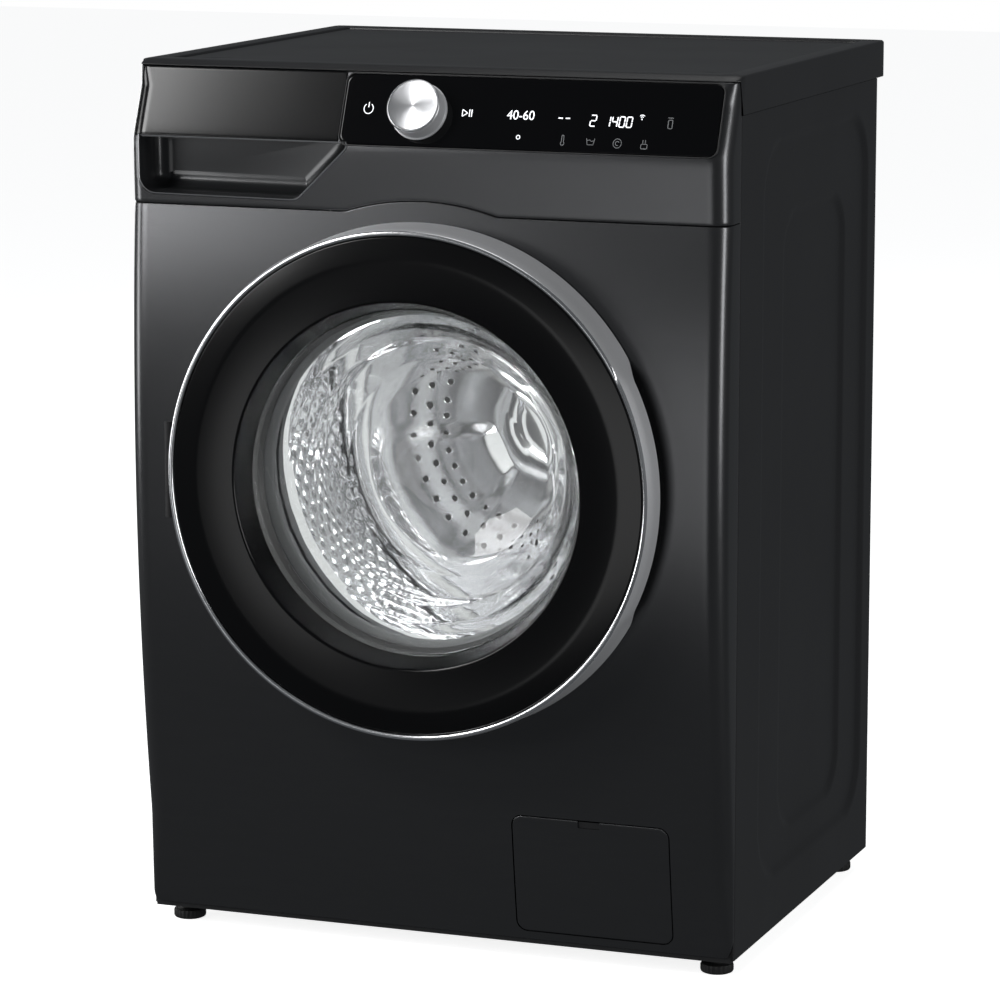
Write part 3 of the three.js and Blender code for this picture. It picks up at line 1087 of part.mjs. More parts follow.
function buildMainsGland() {
  const rear = BACK_FRONT_Y + SHEET;
  const plug = block([GLAND_X - 11.4, GLAND_X + 11.4], [482, rear + 1], [GLAND_Z - 8.4, GLAND_Z + 8.4]);
  const flange = block([GLAND_X - 16, GLAND_X + 16], [rear + FIT, rear + 4], [GLAND_Z - 13, GLAND_Z + 13]);
  const socket = rodY(4, GLAND_X, GLAND_Z, [488, rear + 5], 14);
  return plug.add(flange).subtract(socket);
}

// ---------------------------------------------------------------- feet

/** Name and plan place of each levelling foot. */
function footPlaces() {
  return [['foot_front_left', -FOOT_X, FOOT_FRONT_Y], ['foot_front_right', FOOT_X, FOOT_FRONT_Y],
    ['foot_rear_left', -FOOT_X, FOOT_REAR_Y], ['foot_rear_right', FOOT_X, FOOT_REAR_Y]];
}

function buildFoot(x, y) {
  const collar = BASE_BOTTOM_Z - 2.5;
  return turnedZ([[0, 0], [FOOT_RADIUS, 0], [FOOT_RADIUS, FOOT_PAD], [FOOT_NECK_RADIUS, FOOT_PAD],
    [FOOT_NECK_RADIUS, collar], [FOOT_STEM_RADIUS, collar], [FOOT_STEM_RADIUS, FOOT_STEM_TOP_Z],
    [0, FOOT_STEM_TOP_Z]], x, y, 16);
}

// ---------------------------------------------------------------- assembly

const PIECES = [
  ['front_panel', buildFrontPanel(), 'graphitePaint'],
  ['side_panel_left', buildSidePanel(-1), 'satinBlack'],
  ['side_panel_right', buildSidePanel(1), 'satinBlack'],
  ['top_cover', buildTopCover(), 'worktopBlack'],
  ['back_panel', buildBackPanel(), 'galvanised'],
  ['rear_access_cover', buildRearAccessCover(), 'galvanised'],
  ['base_frame', buildBaseFrame(), 'satinBlack'],
  ['top_brace', buildTopBrace(), 'galvanised'],
  ['control_panel', buildControlPanel(), 'graphitePaint'],
  ['display_glass', buildDisplayGlass(), 'glossBlack'],
  ['control_board', buildControlBoard(), 'circuitGreen'],
  ['dispenser_housing', buildDispenserHousing(), 'greyPlastic'],
  ['water_inlet_valve', buildInletValve(), 'whitePlastic'],
  ['inlet_hose', buildInletHose(), 'rubberGrey'],
  ['dispenser_hose', buildDispenserHose(), 'rubberBlack'],
  ['drain_pump', buildDrainPump(), 'blackPlastic'],
  ['filter_cap', buildFilterCap(), 'greyPlastic'],
  ['sump_hose', buildSumpHose(), 'rubberBlack'],
  ['drain_hose', buildDrainHose(), 'rubberGrey'],
  ['mains_gland', buildMainsGland(), 'blackPlastic'],
  ['door_lock', buildDoorLock(), 'whitePlastic'],
  ['hinge_bracket', buildHingeBracket(), 'castAluminium'],
  ['door_seal', buildDoorSeal(), 'rubberGrey'],
  ['spring_left', buildSpring(-1), 'galvanised'],
  ['spring_right', buildSpring(1), 'galvanised'],
  ['damper_tube_left', buildDamperTube(-1), 'blackPlastic'],
  ['damper_tube_right', buildDamperTube(1), 'blackPlastic'],
  ['tub_front', buildTubFront(), 'greyPlastic'],
  ['tub_rear', buildTubRear(), 'greyPlastic'],
  ['counterweight_front', buildFrontCounterweight(), 'concrete'],
  ['counterweight_top', buildTopCounterweight(), 'concrete'],
  ['heater', buildHeater(), 'stainless'],
  ['bearing_front', buildBearing(HUB_FRONT_Y + 2), 'castIron'],
  ['bearing_rear', buildBearing(HUB_REAR_Y - 2 - BEARING_WIDTH), 'castIron'],
  ['drive_motor', buildDriveMotor(), 'castAluminium'],
  ['drive_belt', buildDriveBelt(), 'rubberBlack'],
  ['damper_rod_left', buildDamperRod(-1), 'galvanised'],
  ['damper_rod_right', buildDamperRod(1), 'galvanised'],
  ['drum', buildDrum(), 'stainless'],
  ...Array.from({ length: LIFTER_COUNT }, (_, i) => [`lifter_${i + 1}`, buildLifter(i), 'stainless']),
  ['drum_spider', buildDrumSpider(), 'castAluminium'],
  ['drum_shaft', buildDrumShaft(), 'stainless'],
  ['drum_pulley', buildDrumPulley(), 'castAluminium'],
  ['motor_pulley', buildMotorPulley(), 'castIron'],
  ['program_dial', buildProgramDial(), 'spunAluminium'],
  ['drawer_front', buildDrawerFront(), 'glossBlack'],
  ['drawer_tray', buildDrawerTray(), 'greyPlastic'],
  ['door_trim_ring', buildTrimRing(), 'satinTrim'],
  ['door_window_ring', buildWindowRing(), 'glossBlack'],
  ['door_glass', buildDoorGlass(), 'clearGlass'],
  ['door_inner_frame', buildDoorInnerFrame(), 'blackPlastic'],
  ['hinge_arm', buildHingeArm(), 'castAluminium'],
  ['latch_hook', buildLatchHook(), 'whitePlastic'],
  ['filter_flap', buildFilterFlap(), 'graphitePaint'],
  ...footPlaces().map(([name, x, y]) => [name, buildFoot(x, y), 'rubberBlack']),
];
PIECES.forEach(([name, body, finish]) => addPiece(name, body, finish));

// The origin goes under the middle of the overall box, on the floor.
const overall = new THREE.Box3().setFromObject(machine);
machine.position.set(-(overall.min.x + overall.max.x) / 2, -(overall.min.y + overall.max.y) / 2,
  -overall.min.z);
machine.updateMatrixWorld(true);

export default machine;
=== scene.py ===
"""Looks of a front load washing machine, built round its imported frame.

Lengths are millimetres in the maker's own frame: X to the right, Y from the foremost line of the bowed
front panel towards the wall, Z up from the floor. add_piece() turns them into metres in the row frame.
"""

import logging
import math
from collections.abc import Sequence
from dataclasses import dataclass
from enum import Enum
from typing import ClassVar

import bmesh
import bpy
import numpy as np
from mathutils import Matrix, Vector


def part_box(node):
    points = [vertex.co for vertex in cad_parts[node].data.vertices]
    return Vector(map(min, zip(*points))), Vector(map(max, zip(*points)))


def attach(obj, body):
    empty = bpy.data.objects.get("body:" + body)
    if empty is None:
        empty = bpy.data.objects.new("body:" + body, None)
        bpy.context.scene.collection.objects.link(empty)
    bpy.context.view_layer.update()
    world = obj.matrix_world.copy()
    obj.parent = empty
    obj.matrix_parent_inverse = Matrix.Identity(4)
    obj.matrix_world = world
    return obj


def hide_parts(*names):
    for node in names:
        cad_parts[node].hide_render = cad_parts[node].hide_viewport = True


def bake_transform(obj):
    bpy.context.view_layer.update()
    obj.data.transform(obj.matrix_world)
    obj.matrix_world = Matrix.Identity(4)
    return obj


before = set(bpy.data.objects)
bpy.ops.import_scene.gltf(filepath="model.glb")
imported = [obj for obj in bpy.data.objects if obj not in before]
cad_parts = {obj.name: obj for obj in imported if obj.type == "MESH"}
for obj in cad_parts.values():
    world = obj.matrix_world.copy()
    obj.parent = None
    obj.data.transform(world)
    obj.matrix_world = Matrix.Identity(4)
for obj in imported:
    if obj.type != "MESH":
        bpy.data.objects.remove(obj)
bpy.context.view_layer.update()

LOG = logging.getLogger("washing_machine")
MM = 0.001
WORKTOP_REAR = 523.0
FRONT_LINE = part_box("top_cover")[1].y - WORKTOP_REAR * MM
WELD = 2e-6
TURN = 2 * math.pi
QUARTER = math.pi / 2
# Two directions that no path and no wall of the machine runs along.
ODD_WAY = (0.13, 0.21, 0.97)
ODD_SIDE = (0.31, 0.17, 0.93)
# The depths between which a cutter passes right through the front.
THROUGH = (-30, 80)
Array = np.ndarray
Triples = tuple[tuple[float, float, float], ...]
# Corners of a section: two coordinates and the radius of the corner's arc.
Corners = Triples


# ------------------------------------------------------------------------------------------ surfaces


@dataclass
class Skin:
    """A mesh in the making, in millimetres.

    points holds a row for each corner, faces a list of corner numbers for each face, marks the number
    of the finish that each face takes, and uv a row for each corner, or None.
    """

    points: Array
    faces: list[list[int]]
    marks: list[int]
    uv: Array | None = None

    def marked(self, mark: int) -> "Skin":
        """The same skin with every face in another finish."""
        return Skin(self.points, self.faces, [mark] * len(self.faces), self.uv)

    def mirrored(self) -> "Skin":
        """The same skin on the other side of the machine, with its faces turned to suit."""
        return Skin(self.points * (-1, 1, 1), [face[::-1] for face in self.faces], self.marks, self.uv)


def join(*skins: Skin) -> Skin:
    """Puts several skins into one.

    Args:
        *skins: The skins. Where any has pattern coordinates, the others get zeros.

    Returns:
        One skin with all their points, faces and marks.
    """
    starts = np.cumsum([0] + [len(skin.points) for skin in skins])
    faces = [[int(start) + i for i in face] for skin, start in zip(skins, starts) for face in skin.faces]
    marks = [mark for skin in skins for mark in skin.marks]
    uv = None
    if any(skin.uv is not None for skin in skins):
        uv = np.vstack([np.zeros((len(s.points), 2)) if s.uv is None else s.uv for s in skins])
    return Skin(np.vstack([skin.points for skin in skins]), faces, marks, uv)


def grid(points: Array, loop_rows: bool = False, loop_columns: bool = False, caps: bool = False,
         uv: Array | None = None) -> Skin:
    """A skin through a grid of points: each four neighbours make one face.

    Args:
        points: Array of rows, columns and three coordinates.
        loop_rows: Whether the last row meets the first.
        loop_columns: Whether the last column meets the first.
        caps: Whether the two open ends are closed with one flat face each.
        uv: Array of rows, columns and two pattern coordinates.

    Returns:
        The skin, with its faces towards columns cross rows.
    """
    rows, columns = points.shape[:2]
    index = np.arange(rows * columns).reshape(rows, columns)
    ends = []
    if caps:
        ends = [index[0, ::-1], index[-1]] if loop_columns else [index[:, 0], index[::-1, -1]]
    if loop_rows:
        index = np.vstack([index, index[:1]])
    if loop_columns:
        index = np.hstack([index, index[:, :1]])
    quads = np.stack([index[:-1, :-1], index[:-1, 1:], index[1:, 1:], index[1:, :-1]], -1).reshape(-1, 4)
    faces = quads.tolist() + [end.tolist() for end in ends]
    flat_uv = None if uv is None else uv.reshape(-1, 2)
    return Skin(points.reshape(-1, 3), faces, [0] * len(faces), flat_uv)


def sheet(outer: Array, inner: Array) -> Skin:
    """A closed sheet between two grids: both grids, and a strip along each of the four borders.

    Args:
        outer: Grid of the face that is seen.
        inner: Grid of the same size behind it.

    Returns:
        The closed skin.
    """
    borders = [(outer[0], inner[0]), (inner[-1], outer[-1]),
               (inner[:, 0], outer[:, 0]), (outer[:, -1], inner[:, -1])]
    strips = [grid(np.stack(pair)) for pair in borders]
    return join(grid(outer), grid(inner[:, ::-1]), *strips)


def rounded_line(points: Sequence[Sequence[float]], radii: Sequence[float], steps: int = 5,
                 closed: bool = False) -> Array:
    """A line whose corners are arcs: each corner's arc touches both of its straight runs.

    Args:
        points: Corner points in a plane.
        radii: One radius for each corner; the ends of an open line ignore theirs.
        steps: Runs in each arc.
        closed: Whether the line comes back to its start.

    Returns:
        Array of points along the line.
    """
    corners = np.array(points, float)
    parts = []
    for i, radius in enumerate(radii):
        here = corners[i]
        if not closed and i in (0, len(corners) - 1) or radius <= 0:
            parts.append(here[None])
            continue
        back, ahead = corners[i - 1] - here, corners[(i + 1) % len(corners)] - here
        back, ahead = back / np.linalg.norm(back), ahead / np.linalg.norm(ahead)
        half = math.acos(float(np.clip(back @ ahead, -1, 1))) / 2
        start = here + back * radius / math.tan(half)
        centre = here + (back + ahead) / np.linalg.norm(back + ahead) * radius / math.sin(half)
        arm = start - centre
        sweep = (math.pi - 2 * half) * np.sign(back[0] * ahead[1] - back[1] * ahead[0]) * -1
        turn = np.linspace(0, sweep, steps + 1)
        parts.append(centre + np.stack([arm[0] * np.cos(turn) - arm[1] * np.sin(turn),
                                        arm[0] * np.sin(turn) + arm[1] * np.cos(turn)], -1))
    return np.vstack(parts)


def drawn(corners: Corners, steps: int = 5, closed: bool = False) -> Array:
    """The line through a section's corners, each given as two coordinates and the radius of its arc."""
    table = np.array(corners, float)
    return rounded_line(table[:, :2], table[:, 2], steps, closed)


def lathe(profile: Array, sides: int, axis: Sequence[float], upright: bool = False) -> Skin:
    """A body of revolution: the closed profile of (radius, height along the axis) turned once round.

    Args:
        profile: Array of points, or of points and sides where the profile changes on its way round.
        sides: Steps in the turn.
        axis: X and Z of an axis along Y, or X and Y of an upright one.
        upright: Whether the axis stands along Z.

    Returns:
        The closed skin, with the turn and the way round the profile as pattern coordinates.
    """
    turn = np.arange(sides) * TURN / sides
    shape = profile if profile.ndim == 3 else np.repeat(profile[:, None], sides, axis=1)
    radius, height = shape[..., 0], shape[..., 1]
    across, rise = radius * np.cos(turn), radius * np.sin(turn)
    if upright:
        points = np.stack([axis[0] + across, axis[1] + rise, height], -1)
    else:
        points = np.stack([axis[0] + across, height, axis[1] + rise], -1)
    uv = np.stack([np.broadcast_to(turn / TURN, radius.shape), radius / 100], -1)
    return grid(points, loop_rows=True, loop_columns=True, uv=uv)


def tube(path: Array, radius: float, sides: int) -> Skin:
    """A round tube: a circle carried along a path, square to it, with a flat cap at each end.

    Args:
        path: Array of points along its middle.
        radius: Its radius.
        sides: Steps round it.

    Returns:
        The closed skin.
    """
    along = np.gradient(path, axis=0)
    along /= np.linalg.norm(along, axis=1, keepdims=True)
    side = np.cross(along, ODD_WAY)
    side /= np.linalg.norm(side, axis=1, keepdims=True)
    up = np.cross(side, along)
    turn = np.arange(sides) * TURN / sides
    ring = (np.cos(turn)[:, None] * side[:, None] + np.sin(turn)[:, None] * up[:, None]) * radius
    return grid(path[:, None] + ring, loop_columns=True, caps=True)


def smooth_path(points: Sequence[Sequence[float]], steps: int) -> Array:
    """A path through the points by cubic runs whose slope at each point is half its neighbours' span.

    Args:
        points: The points that it passes.
        steps: Points of the path.

    Returns:
        Array of points along the path.
    """
    knots = np.array(points, float)
    slopes = np.gradient(knots, axis=0)
    place = np.linspace(0, len(knots) - 1.000001, steps)
    cell = place.astype(int)
    t = (place - cell)[:, None]
    a, b, ma, mb = knots[cell], knots[cell + 1], slopes[cell], slopes[cell + 1]
    return ((2 * t**3 - 3 * t**2 + 1) * a + (t**3 - 2 * t**2 + t) * ma
            + (3 * t**2 - 2 * t**3) * b + (t**3 - t**2) * mb)


def prism(outline: Array, low: float, high: float) -> Skin:
    """A flat outline of (x, z) carried along Y between two depths."""
    rows = [np.stack([outline[:, 0], np.full(len(outline), y), outline[:, 1]], -1) for y in (low, high)]
    return grid(np.stack(rows), loop_columns=True, caps=True)


def block(x: Sequence[float], y: Sequence[float], z: Sequence[float]) -> Skin:
    """A cutter with six flat faces."""
    outline = np.array([(x[0], z[0]), (x[1], z[0]), (x[1], z[1]), (x[0], z[1])], float)
    return prism(outline, y[0], y[1])


def rounded_box(x: Sequence[float], z: Sequence[float], corner: float, steps: int = 8) -> Array:
    """Outline of a rectangle with round corners."""
    return rounded_line([(x[1], z[1]), (x[0], z[1]), (x[0], z[0]), (x[1], z[0])], [corner] * 4, steps, True)


def box_distance(u: Array, v: Array, us: Sequence[float], vs: Sequence[float], corner: float) -> Array:
    """How far each point lies inside a rectangle with round corners: less than nothing outside it.

    Args:
        u: First coordinate of the points.
        v: Second coordinate of the points.
        us: Ends of the rectangle along the first.
        vs: Ends of the rectangle along the second.
        corner: Radius of its corners.

    Returns:
        Array of distances.
    """
    reach_u = np.abs(u - (us[0] + us[1]) / 2) - (us[1] - us[0]) / 2 + corner
    reach_v = np.abs(v - (vs[0] + vs[1]) / 2) - (vs[1] - vs[0]) / 2 + corner
    outside = np.hypot(np.maximum(reach_u, 0), np.maximum(reach_v, 0))
    return corner - outside - np.minimum(np.maximum(reach_u, reach_v), 0)


def edge_drop(distance: Array, radius: float) -> Array:
    """Fall of a face towards its edge: a quarter circle of that radius, level further in."""
    left = np.clip(radius - distance, 0, radius)
    return radius - np.sqrt(radius**2 - left**2)


def smoothstep(value: Array) -> Array:
    """Three t squared less two t cubed, held between nothing and one."""
    t = np.clip(value, 0, 1)
    return t * t * (3 - 2 * t)


def crowded(low: float, high: float, edge: float, count: int) -> Array:
    """Places from low to high, even in the middle and crowded within an edge's radius of both ends."""
    near = edge * (1 - np.cos(np.linspace(0, QUARTER, 5)))
    middle = np.linspace(edge, (high - low) - edge, count)[1:-1]
    return low + np.concatenate([near, middle, (high - low) - near[::-1]])


def plate(x: Sequence[float], z: Sequence[float], corner: float, edge: float,
          counts: tuple[int, int]) -> tuple[Array, Array, Array]:
    """Grid of a rectangular plate with round corners: columns run from the lower outline to the upper.

    Args:
        x: Left and right ends.
        z: Lower and upper ends.
        corner: Radius of the corners.
        edge: Radius of the rounded border of its face.
        counts: Columns and rows in the level part.

    Returns:
        Arrays of x, of z, and of how far the face falls at its border.
    """
    columns = np.unique(np.concatenate([crowded(x[0], x[1], edge, counts[0]),
                                        x[0] + corner * (1 - np.cos(np.linspace(0, QUARTER, 7))),
                                        x[1] - corner * (1 - np.cos(np.linspace(0, QUARTER, 7)))]).round(4))
    side = np.minimum(columns - x[0], x[1] - columns)
    lift = edge_drop(side, corner)
    share = crowded(0, z[1] - z[0], edge, counts[1]) / (z[1] - z[0])
    low, high = z[0] + lift, z[1] - lift
    zs = low + (high - low) * share[:, None]
    xs = np.broadcast_to(columns, zs.shape)
    return xs, zs, edge_drop(box_distance(xs, zs, x, z, corner), edge)


def scatter(shape: Skin, centres: Array, normals: Array) -> Skin:
    """Copies of a small shape, whose own Y looks into the wall, set at each centre against its normal.

    Args:
        shape: The small shape, about its own origin.
        centres: Array with a row for each copy.
        normals: Array of the ways that the wall faces there.

    Returns:
        One skin with all the copies.
    """
    normal = normals / np.linalg.norm(normals, axis=1, keepdims=True)
    side = np.cross(normal, ODD_SIDE)
    side /= np.linalg.norm(side, axis=1, keepdims=True)
    up = np.cross(normal, side)
    local = shape.points
    points = (centres[:, None] + local[:, 0, None] * side[:, None] - local[:, 1, None] * normal[:, None]
              + local[:, 2, None] * up[:, None])
    faces = [[start + i for i in face] for start in range(0, points.shape[0] * len(local), len(local))
             for face in shape.faces]
    return Skin(points.reshape(-1, 3), faces, shape.marks * len(centres))


# ------------------------------------------------------------------------------------------ finishes


class Grain(Enum):
    """Surface patterns, each by the name of its node group."""

    BRUSHED = "grain_brushed"
    ORANGE_PEEL = "grain_orange_peel"
    MOULDED = "grain_moulded"
    CAST = "grain_cast"
    SPANGLE = "grain_spangle"
    SPUN = "grain_spun"


@dataclass(frozen=True)
class GrainRecipe:
    """How one pattern is made: noise or cells, drawn out by a stretch, with a size and fineness."""

    stretch: tuple[float, float, float]
    size: float
    detail: float
    roughness: float
    cells: bool = False


RECIPES: dict[Grain, GrainRecipe] = {
    Grain.BRUSHED: GrainRecipe((0.02, 1.0, 1.0), 900.0, 3.0, 0.7),
    Grain.ORANGE_PEEL: GrainRecipe((1.0, 1.0, 1.0), 420.0, 2.0, 0.5),
    Grain.MOULDED: GrainRecipe((1.0, 1.0, 1.0), 1500.0, 3.0, 0.6),
    Grain.CAST: GrainRecipe((1.0, 1.0, 1.0), 350.0, 6.0, 0.7),
    Grain.SPANGLE: GrainRecipe((1.0, 1.0, 1.0), 70.0, 1.0, 0.5, True),
    Grain.SPUN: GrainRecipe((1.0, 220.0, 1.0), 4.0, 3.0, 0.6),
}


CLOUD_SIZE = 6.0
CLOUD_DETAIL = 4.0


def grain_group(grain: Grain) -> bpy.types.ShaderNodeTree:
    """Node group of one pattern, built once: it puts out the pattern, and a slow cloud of wear and haze.

    Args:
        grain: The pattern.

    Returns:
        The group, with inputs Place and Scale, and outputs Pattern and Cloud.
    """
    found = bpy.data.node_groups.get(grain.value)
    if found:
        return found
    recipe = RECIPES[grain]
    tree = bpy.data.node_groups.new(grain.value, "ShaderNodeTree")
    tree.interface.new_socket("Place", in_out="INPUT", socket_type="NodeSocketVector")
    scale = tree.interface.new_socket("Scale", in_out="INPUT", socket_type="NodeSocketFloat")
    scale.default_value = 1.0
    tree.interface.new_socket("Pattern", in_out="OUTPUT", socket_type="NodeSocketFloat")
    tree.interface.new_socket("Cloud", in_out="OUTPUT", socket_type="NodeSocketFloat")
    start, end = tree.nodes.new("NodeGroupInput"), tree.nodes.new("NodeGroupOutput")
    grow = tree.nodes.new("ShaderNodeVectorMath")
    grow.operation = "SCALE"
    stretch = tree.nodes.new("ShaderNodeVectorMath")
    stretch.operation = "MULTIPLY"
    stretch.inputs[1].default_value = recipe.stretch
    tree.links.new(start.outputs["Place"], grow.inputs[0])
    tree.links.new(start.outputs["Scale"], grow.inputs["Scale"])
    tree.links.new(grow.outputs[0], stretch.inputs[0])
    if recipe.cells:
        fine = tree.nodes.new("ShaderNodeTexVoronoi")
        fine.inputs["Scale"].default_value = recipe.size
        pattern = fine.outputs["Color"]
    else:
        fine = tree.nodes.new("ShaderNodeTexNoise")
        fine.inputs["Scale"].default_value = recipe.size
        fine.inputs["Detail"].default_value = recipe.detail
        fine.inputs["Roughness"].default_value = recipe.roughness
        pattern = fine.outputs["Fac"]
    cloud = tree.nodes.new("ShaderNodeTexNoise")
    cloud.inputs["Scale"].default_value = CLOUD_SIZE
    cloud.inputs["Detail"].default_value = CLOUD_DETAIL
    tree.links.new(stretch.outputs[0], fine.inputs["Vector"])
    tree.links.new(start.outputs["Place"], cloud.inputs["Vector"])
    tree.links.new(pattern, end.inputs["Pattern"])
    tree.links.new(cloud.outputs["Fac"], end.inputs["Cloud"])
    return tree


@dataclass(frozen=True)
class Finish:
    """A finish: plain values for the shader, and how far its pattern moves colour, gloss and relief."""

    name: str
    colour: tuple[float, float, float]
    roughness: float
    grain: Grain
    metallic: float = 0.0
    tone: float = 0.15
    haze: float = 0.06
    relief: float = 0.00002
    scale: float = 1.0
    coat: float = 0.0
    coat_roughness: float = 0.05
    anisotropy: float = 0.0
    glow: float = 0.0
    by_uv: bool = False
    specular: float = 0.5

    def build(self) -> bpy.types.Material:
        """The material, made the first time it is asked for."""
        found = bpy.data.materials.get(self.name)
        if found:
            return found
        material = bpy.data.materials.new(self.name)
        material.use_nodes = True
        tree = material.node_tree
        shader = tree.nodes["Principled BSDF"]
        shader.inputs["Metallic"].default_value = self.metallic
        shader.inputs["Coat Weight"].default_value = self.coat
        shader.inputs["Coat Roughness"].default_value = self.coat_roughness
        shader.inputs["Anisotropic"].default_value = self.anisotropy
        shader.inputs["Specular IOR Level"].default_value = self.specular
        place = tree.nodes.new("ShaderNodeTexCoord")
        pattern = tree.nodes.new("ShaderNodeGroup")
        pattern.node_tree = grain_group(self.grain)
        pattern.inputs["Scale"].default_value = self.scale
        tree.links.new(place.outputs["UV" if self.by_uv else "Object"], pattern.inputs["Place"])
        tint = tree.nodes.new("ShaderNodeMix")
        tint.data_type = "RGBA"
        tint.inputs["A"].default_value = (*(c * (1 - self.tone) for c in self.colour), 1)
        tint.inputs["B"].default_value = (*(min(c * (1 + self.tone), 1) for c in self.colour), 1)
        gloss = tree.nodes.new("ShaderNodeMapRange")
        gloss.inputs["To Min"].default_value = max(self.roughness - self.haze, 0.01)
        gloss.inputs["To Max"].default_value = self.roughness + self.haze
        bump = tree.nodes.new("ShaderNodeBump")
        bump.inputs["Distance"].default_value = self.relief
        tree.links.new(pattern.outputs["Pattern"], tint.inputs["Factor"])
        tree.links.new(tint.outputs["Result"], shader.inputs["Base Color"])
        tree.links.new(pattern.outputs["Cloud"], gloss.inputs["Value"])
        tree.links.new(gloss.outputs["Result"], shader.inputs["Roughness"])
        tree.links.new(pattern.outputs["Pattern"], bump.inputs["Height"])
        tree.links.new(bump.outputs["Normal"], shader.inputs["Normal"])
        if self.anisotropy:
            tangent = tree.nodes.new("ShaderNodeTangent")
            tangent.direction_type = "UV_MAP"
            tree.links.new(tangent.outputs["Tangent"], shader.inputs["Tangent"])
        if self.glow:
            shader.inputs["Emission Strength"].default_value = self.glow
            tree.links.new(tint.outputs["Result"], shader.inputs["Emission Color"])
        return material


GLASS_TINT = (0.97, 0.985, 0.98, 1)
GLASS_IOR = 1.47
GLASS_WAVE_SCALE = 0.08
GLASS_WAVE_RELIEF = 0.00015


def glass_material(name: str, roughness: float) -> bpy.types.Material:
    """Clear glass that lets light through to the drum: shadow rays pass it, and all others bend.

    Args:
        name: Name of the material.
        roughness: Its roughness where it is haziest.

    Returns:
        The material.
    """
    material = bpy.data.materials.new(name)
    material.use_nodes = True
    tree = material.node_tree
    shader = tree.nodes["Principled BSDF"]
    shader.inputs["Base Color"].default_value = GLASS_TINT
    shader.inputs["Transmission Weight"].default_value = 1.0
    shader.inputs["IOR"].default_value = GLASS_IOR
    place = tree.nodes.new("ShaderNodeTexCoord")
    pattern = tree.nodes.new("ShaderNodeGroup")
    pattern.node_tree = grain_group(Grain.ORANGE_PEEL)
    pattern.inputs["Scale"].default_value = GLASS_WAVE_SCALE
    gloss = tree.nodes.new("ShaderNodeMapRange")
    gloss.inputs["To Min"].default_value = 0.0
    gloss.inputs["To Max"].default_value = roughness
    bump = tree.nodes.new("ShaderNodeBump")
    bump.inputs["Distance"].default_value = GLASS_WAVE_RELIEF
    clear = tree.nodes.new("ShaderNodeBsdfTransparent")
    path = tree.nodes.new("ShaderNodeLightPath")
    mix = tree.nodes.new("ShaderNodeMixShader")
    tree.links.new(place.outputs["Object"], pattern.inputs["Place"])
    tree.links.new(pattern.outputs["Cloud"], gloss.inputs["Value"])
    tree.links.new(gloss.outputs["Result"], shader.inputs["Roughness"])
    tree.links.new(pattern.outputs["Pattern"], bump.inputs["Height"])
    tree.links.new(bump.outputs["Normal"], shader.inputs["Normal"])
    tree.links.new(path.outputs["Is Shadow Ray"], mix.inputs["Fac"])
    tree.links.new(shader.outputs["BSDF"], mix.inputs[1])
    tree.links.new(clear.outputs["BSDF"], mix.inputs[2])
    tree.links.new(mix.outputs["Shader"], tree.nodes["Material Output"].inputs["Surface"])
    return material


GRAPHITE = Finish("graphite_paint", (0.085, 0.086, 0.089), 0.25, Grain.BRUSHED, metallic=0.85, tone=0.12,
                  haze=0.03, relief=0.000012, anisotropy=0.45)
SATIN_BLACK = Finish("satin_black_paint", (0.013, 0.0133, 0.0145), 0.42, Grain.ORANGE_PEEL, tone=0.1,
                     relief=0.00003)
WORKTOP = Finish("worktop_black", (0.013, 0.0133, 0.0145), 0.38, Grain.ORANGE_PEEL, tone=0.12,
                 relief=0.00004)
GLOSS_BLACK = Finish("gloss_black", (0.0015, 0.0015, 0.0018), 0.16, Grain.ORANGE_PEEL, tone=0.1, haze=0.02,
                     relief=0.000002, specular=0.3)
DISPLAY = Finish("display_glass_black", (0.0015, 0.0015, 0.002), 0.08, Grain.ORANGE_PEEL, tone=0.1,
                 haze=0.02, relief=0.000001, specular=0.3)
SATIN_TRIM = Finish("satin_trim", (0.6, 0.605, 0.62), 0.4, Grain.BRUSHED, metallic=0.3, tone=0.08,
                    relief=0.000008)
BRIGHT_BEAD = Finish("bright_bead", (0.72, 0.725, 0.74), 0.22, Grain.BRUSHED, metallic=1.0, tone=0.06,
                     relief=0.000004)
SPUN = Finish("spun_aluminium", (0.62, 0.625, 0.64), 0.3, Grain.SPUN, metallic=1.0, tone=0.12,
              relief=0.000012, anisotropy=0.75, by_uv=True)
STAINLESS = Finish("stainless", (0.82, 0.825, 0.835), 0.16, Grain.BRUSHED, metallic=1.0, tone=0.08,
                   relief=0.00001, scale=0.6)
GALVANISED = Finish("galvanised", (0.42, 0.43, 0.44), 0.42, Grain.SPANGLE, metallic=0.9, tone=0.16,
                    relief=0.00001)
CAST_ALUMINIUM = Finish("cast_aluminium", (0.36, 0.365, 0.37), 0.5, Grain.CAST, metallic=0.9,
                        relief=0.00012)
BLACK_CAST = Finish("blackened_cast", (0.02, 0.02, 0.021), 0.5, Grain.CAST, metallic=0.6, relief=0.00008)
CAST_IRON = Finish("cast_iron", (0.09, 0.09, 0.092), 0.6, Grain.CAST, metallic=0.7, relief=0.00014)
GREY_PLASTIC = Finish("grey_plastic", (0.19, 0.195, 0.2), 0.5, Grain.MOULDED, relief=0.00006)
WHITE_PLASTIC = Finish("white_plastic", (0.66, 0.66, 0.64), 0.45, Grain.MOULDED, relief=0.00004)
BLACK_PLASTIC = Finish("black_plastic", (0.014, 0.014, 0.015), 0.48, Grain.MOULDED, relief=0.00006)
GREY_RUBBER = Finish("grey_rubber", (0.12, 0.123, 0.126), 0.62, Grain.MOULDED, relief=0.00008)
BLACK_RUBBER = Finish("black_rubber", (0.01, 0.01, 0.0105), 0.66, Grain.MOULDED, relief=0.0001)
CONCRETE = Finish("concrete", (0.3, 0.295, 0.28), 0.88, Grain.CAST, tone=0.3, relief=0.0005)
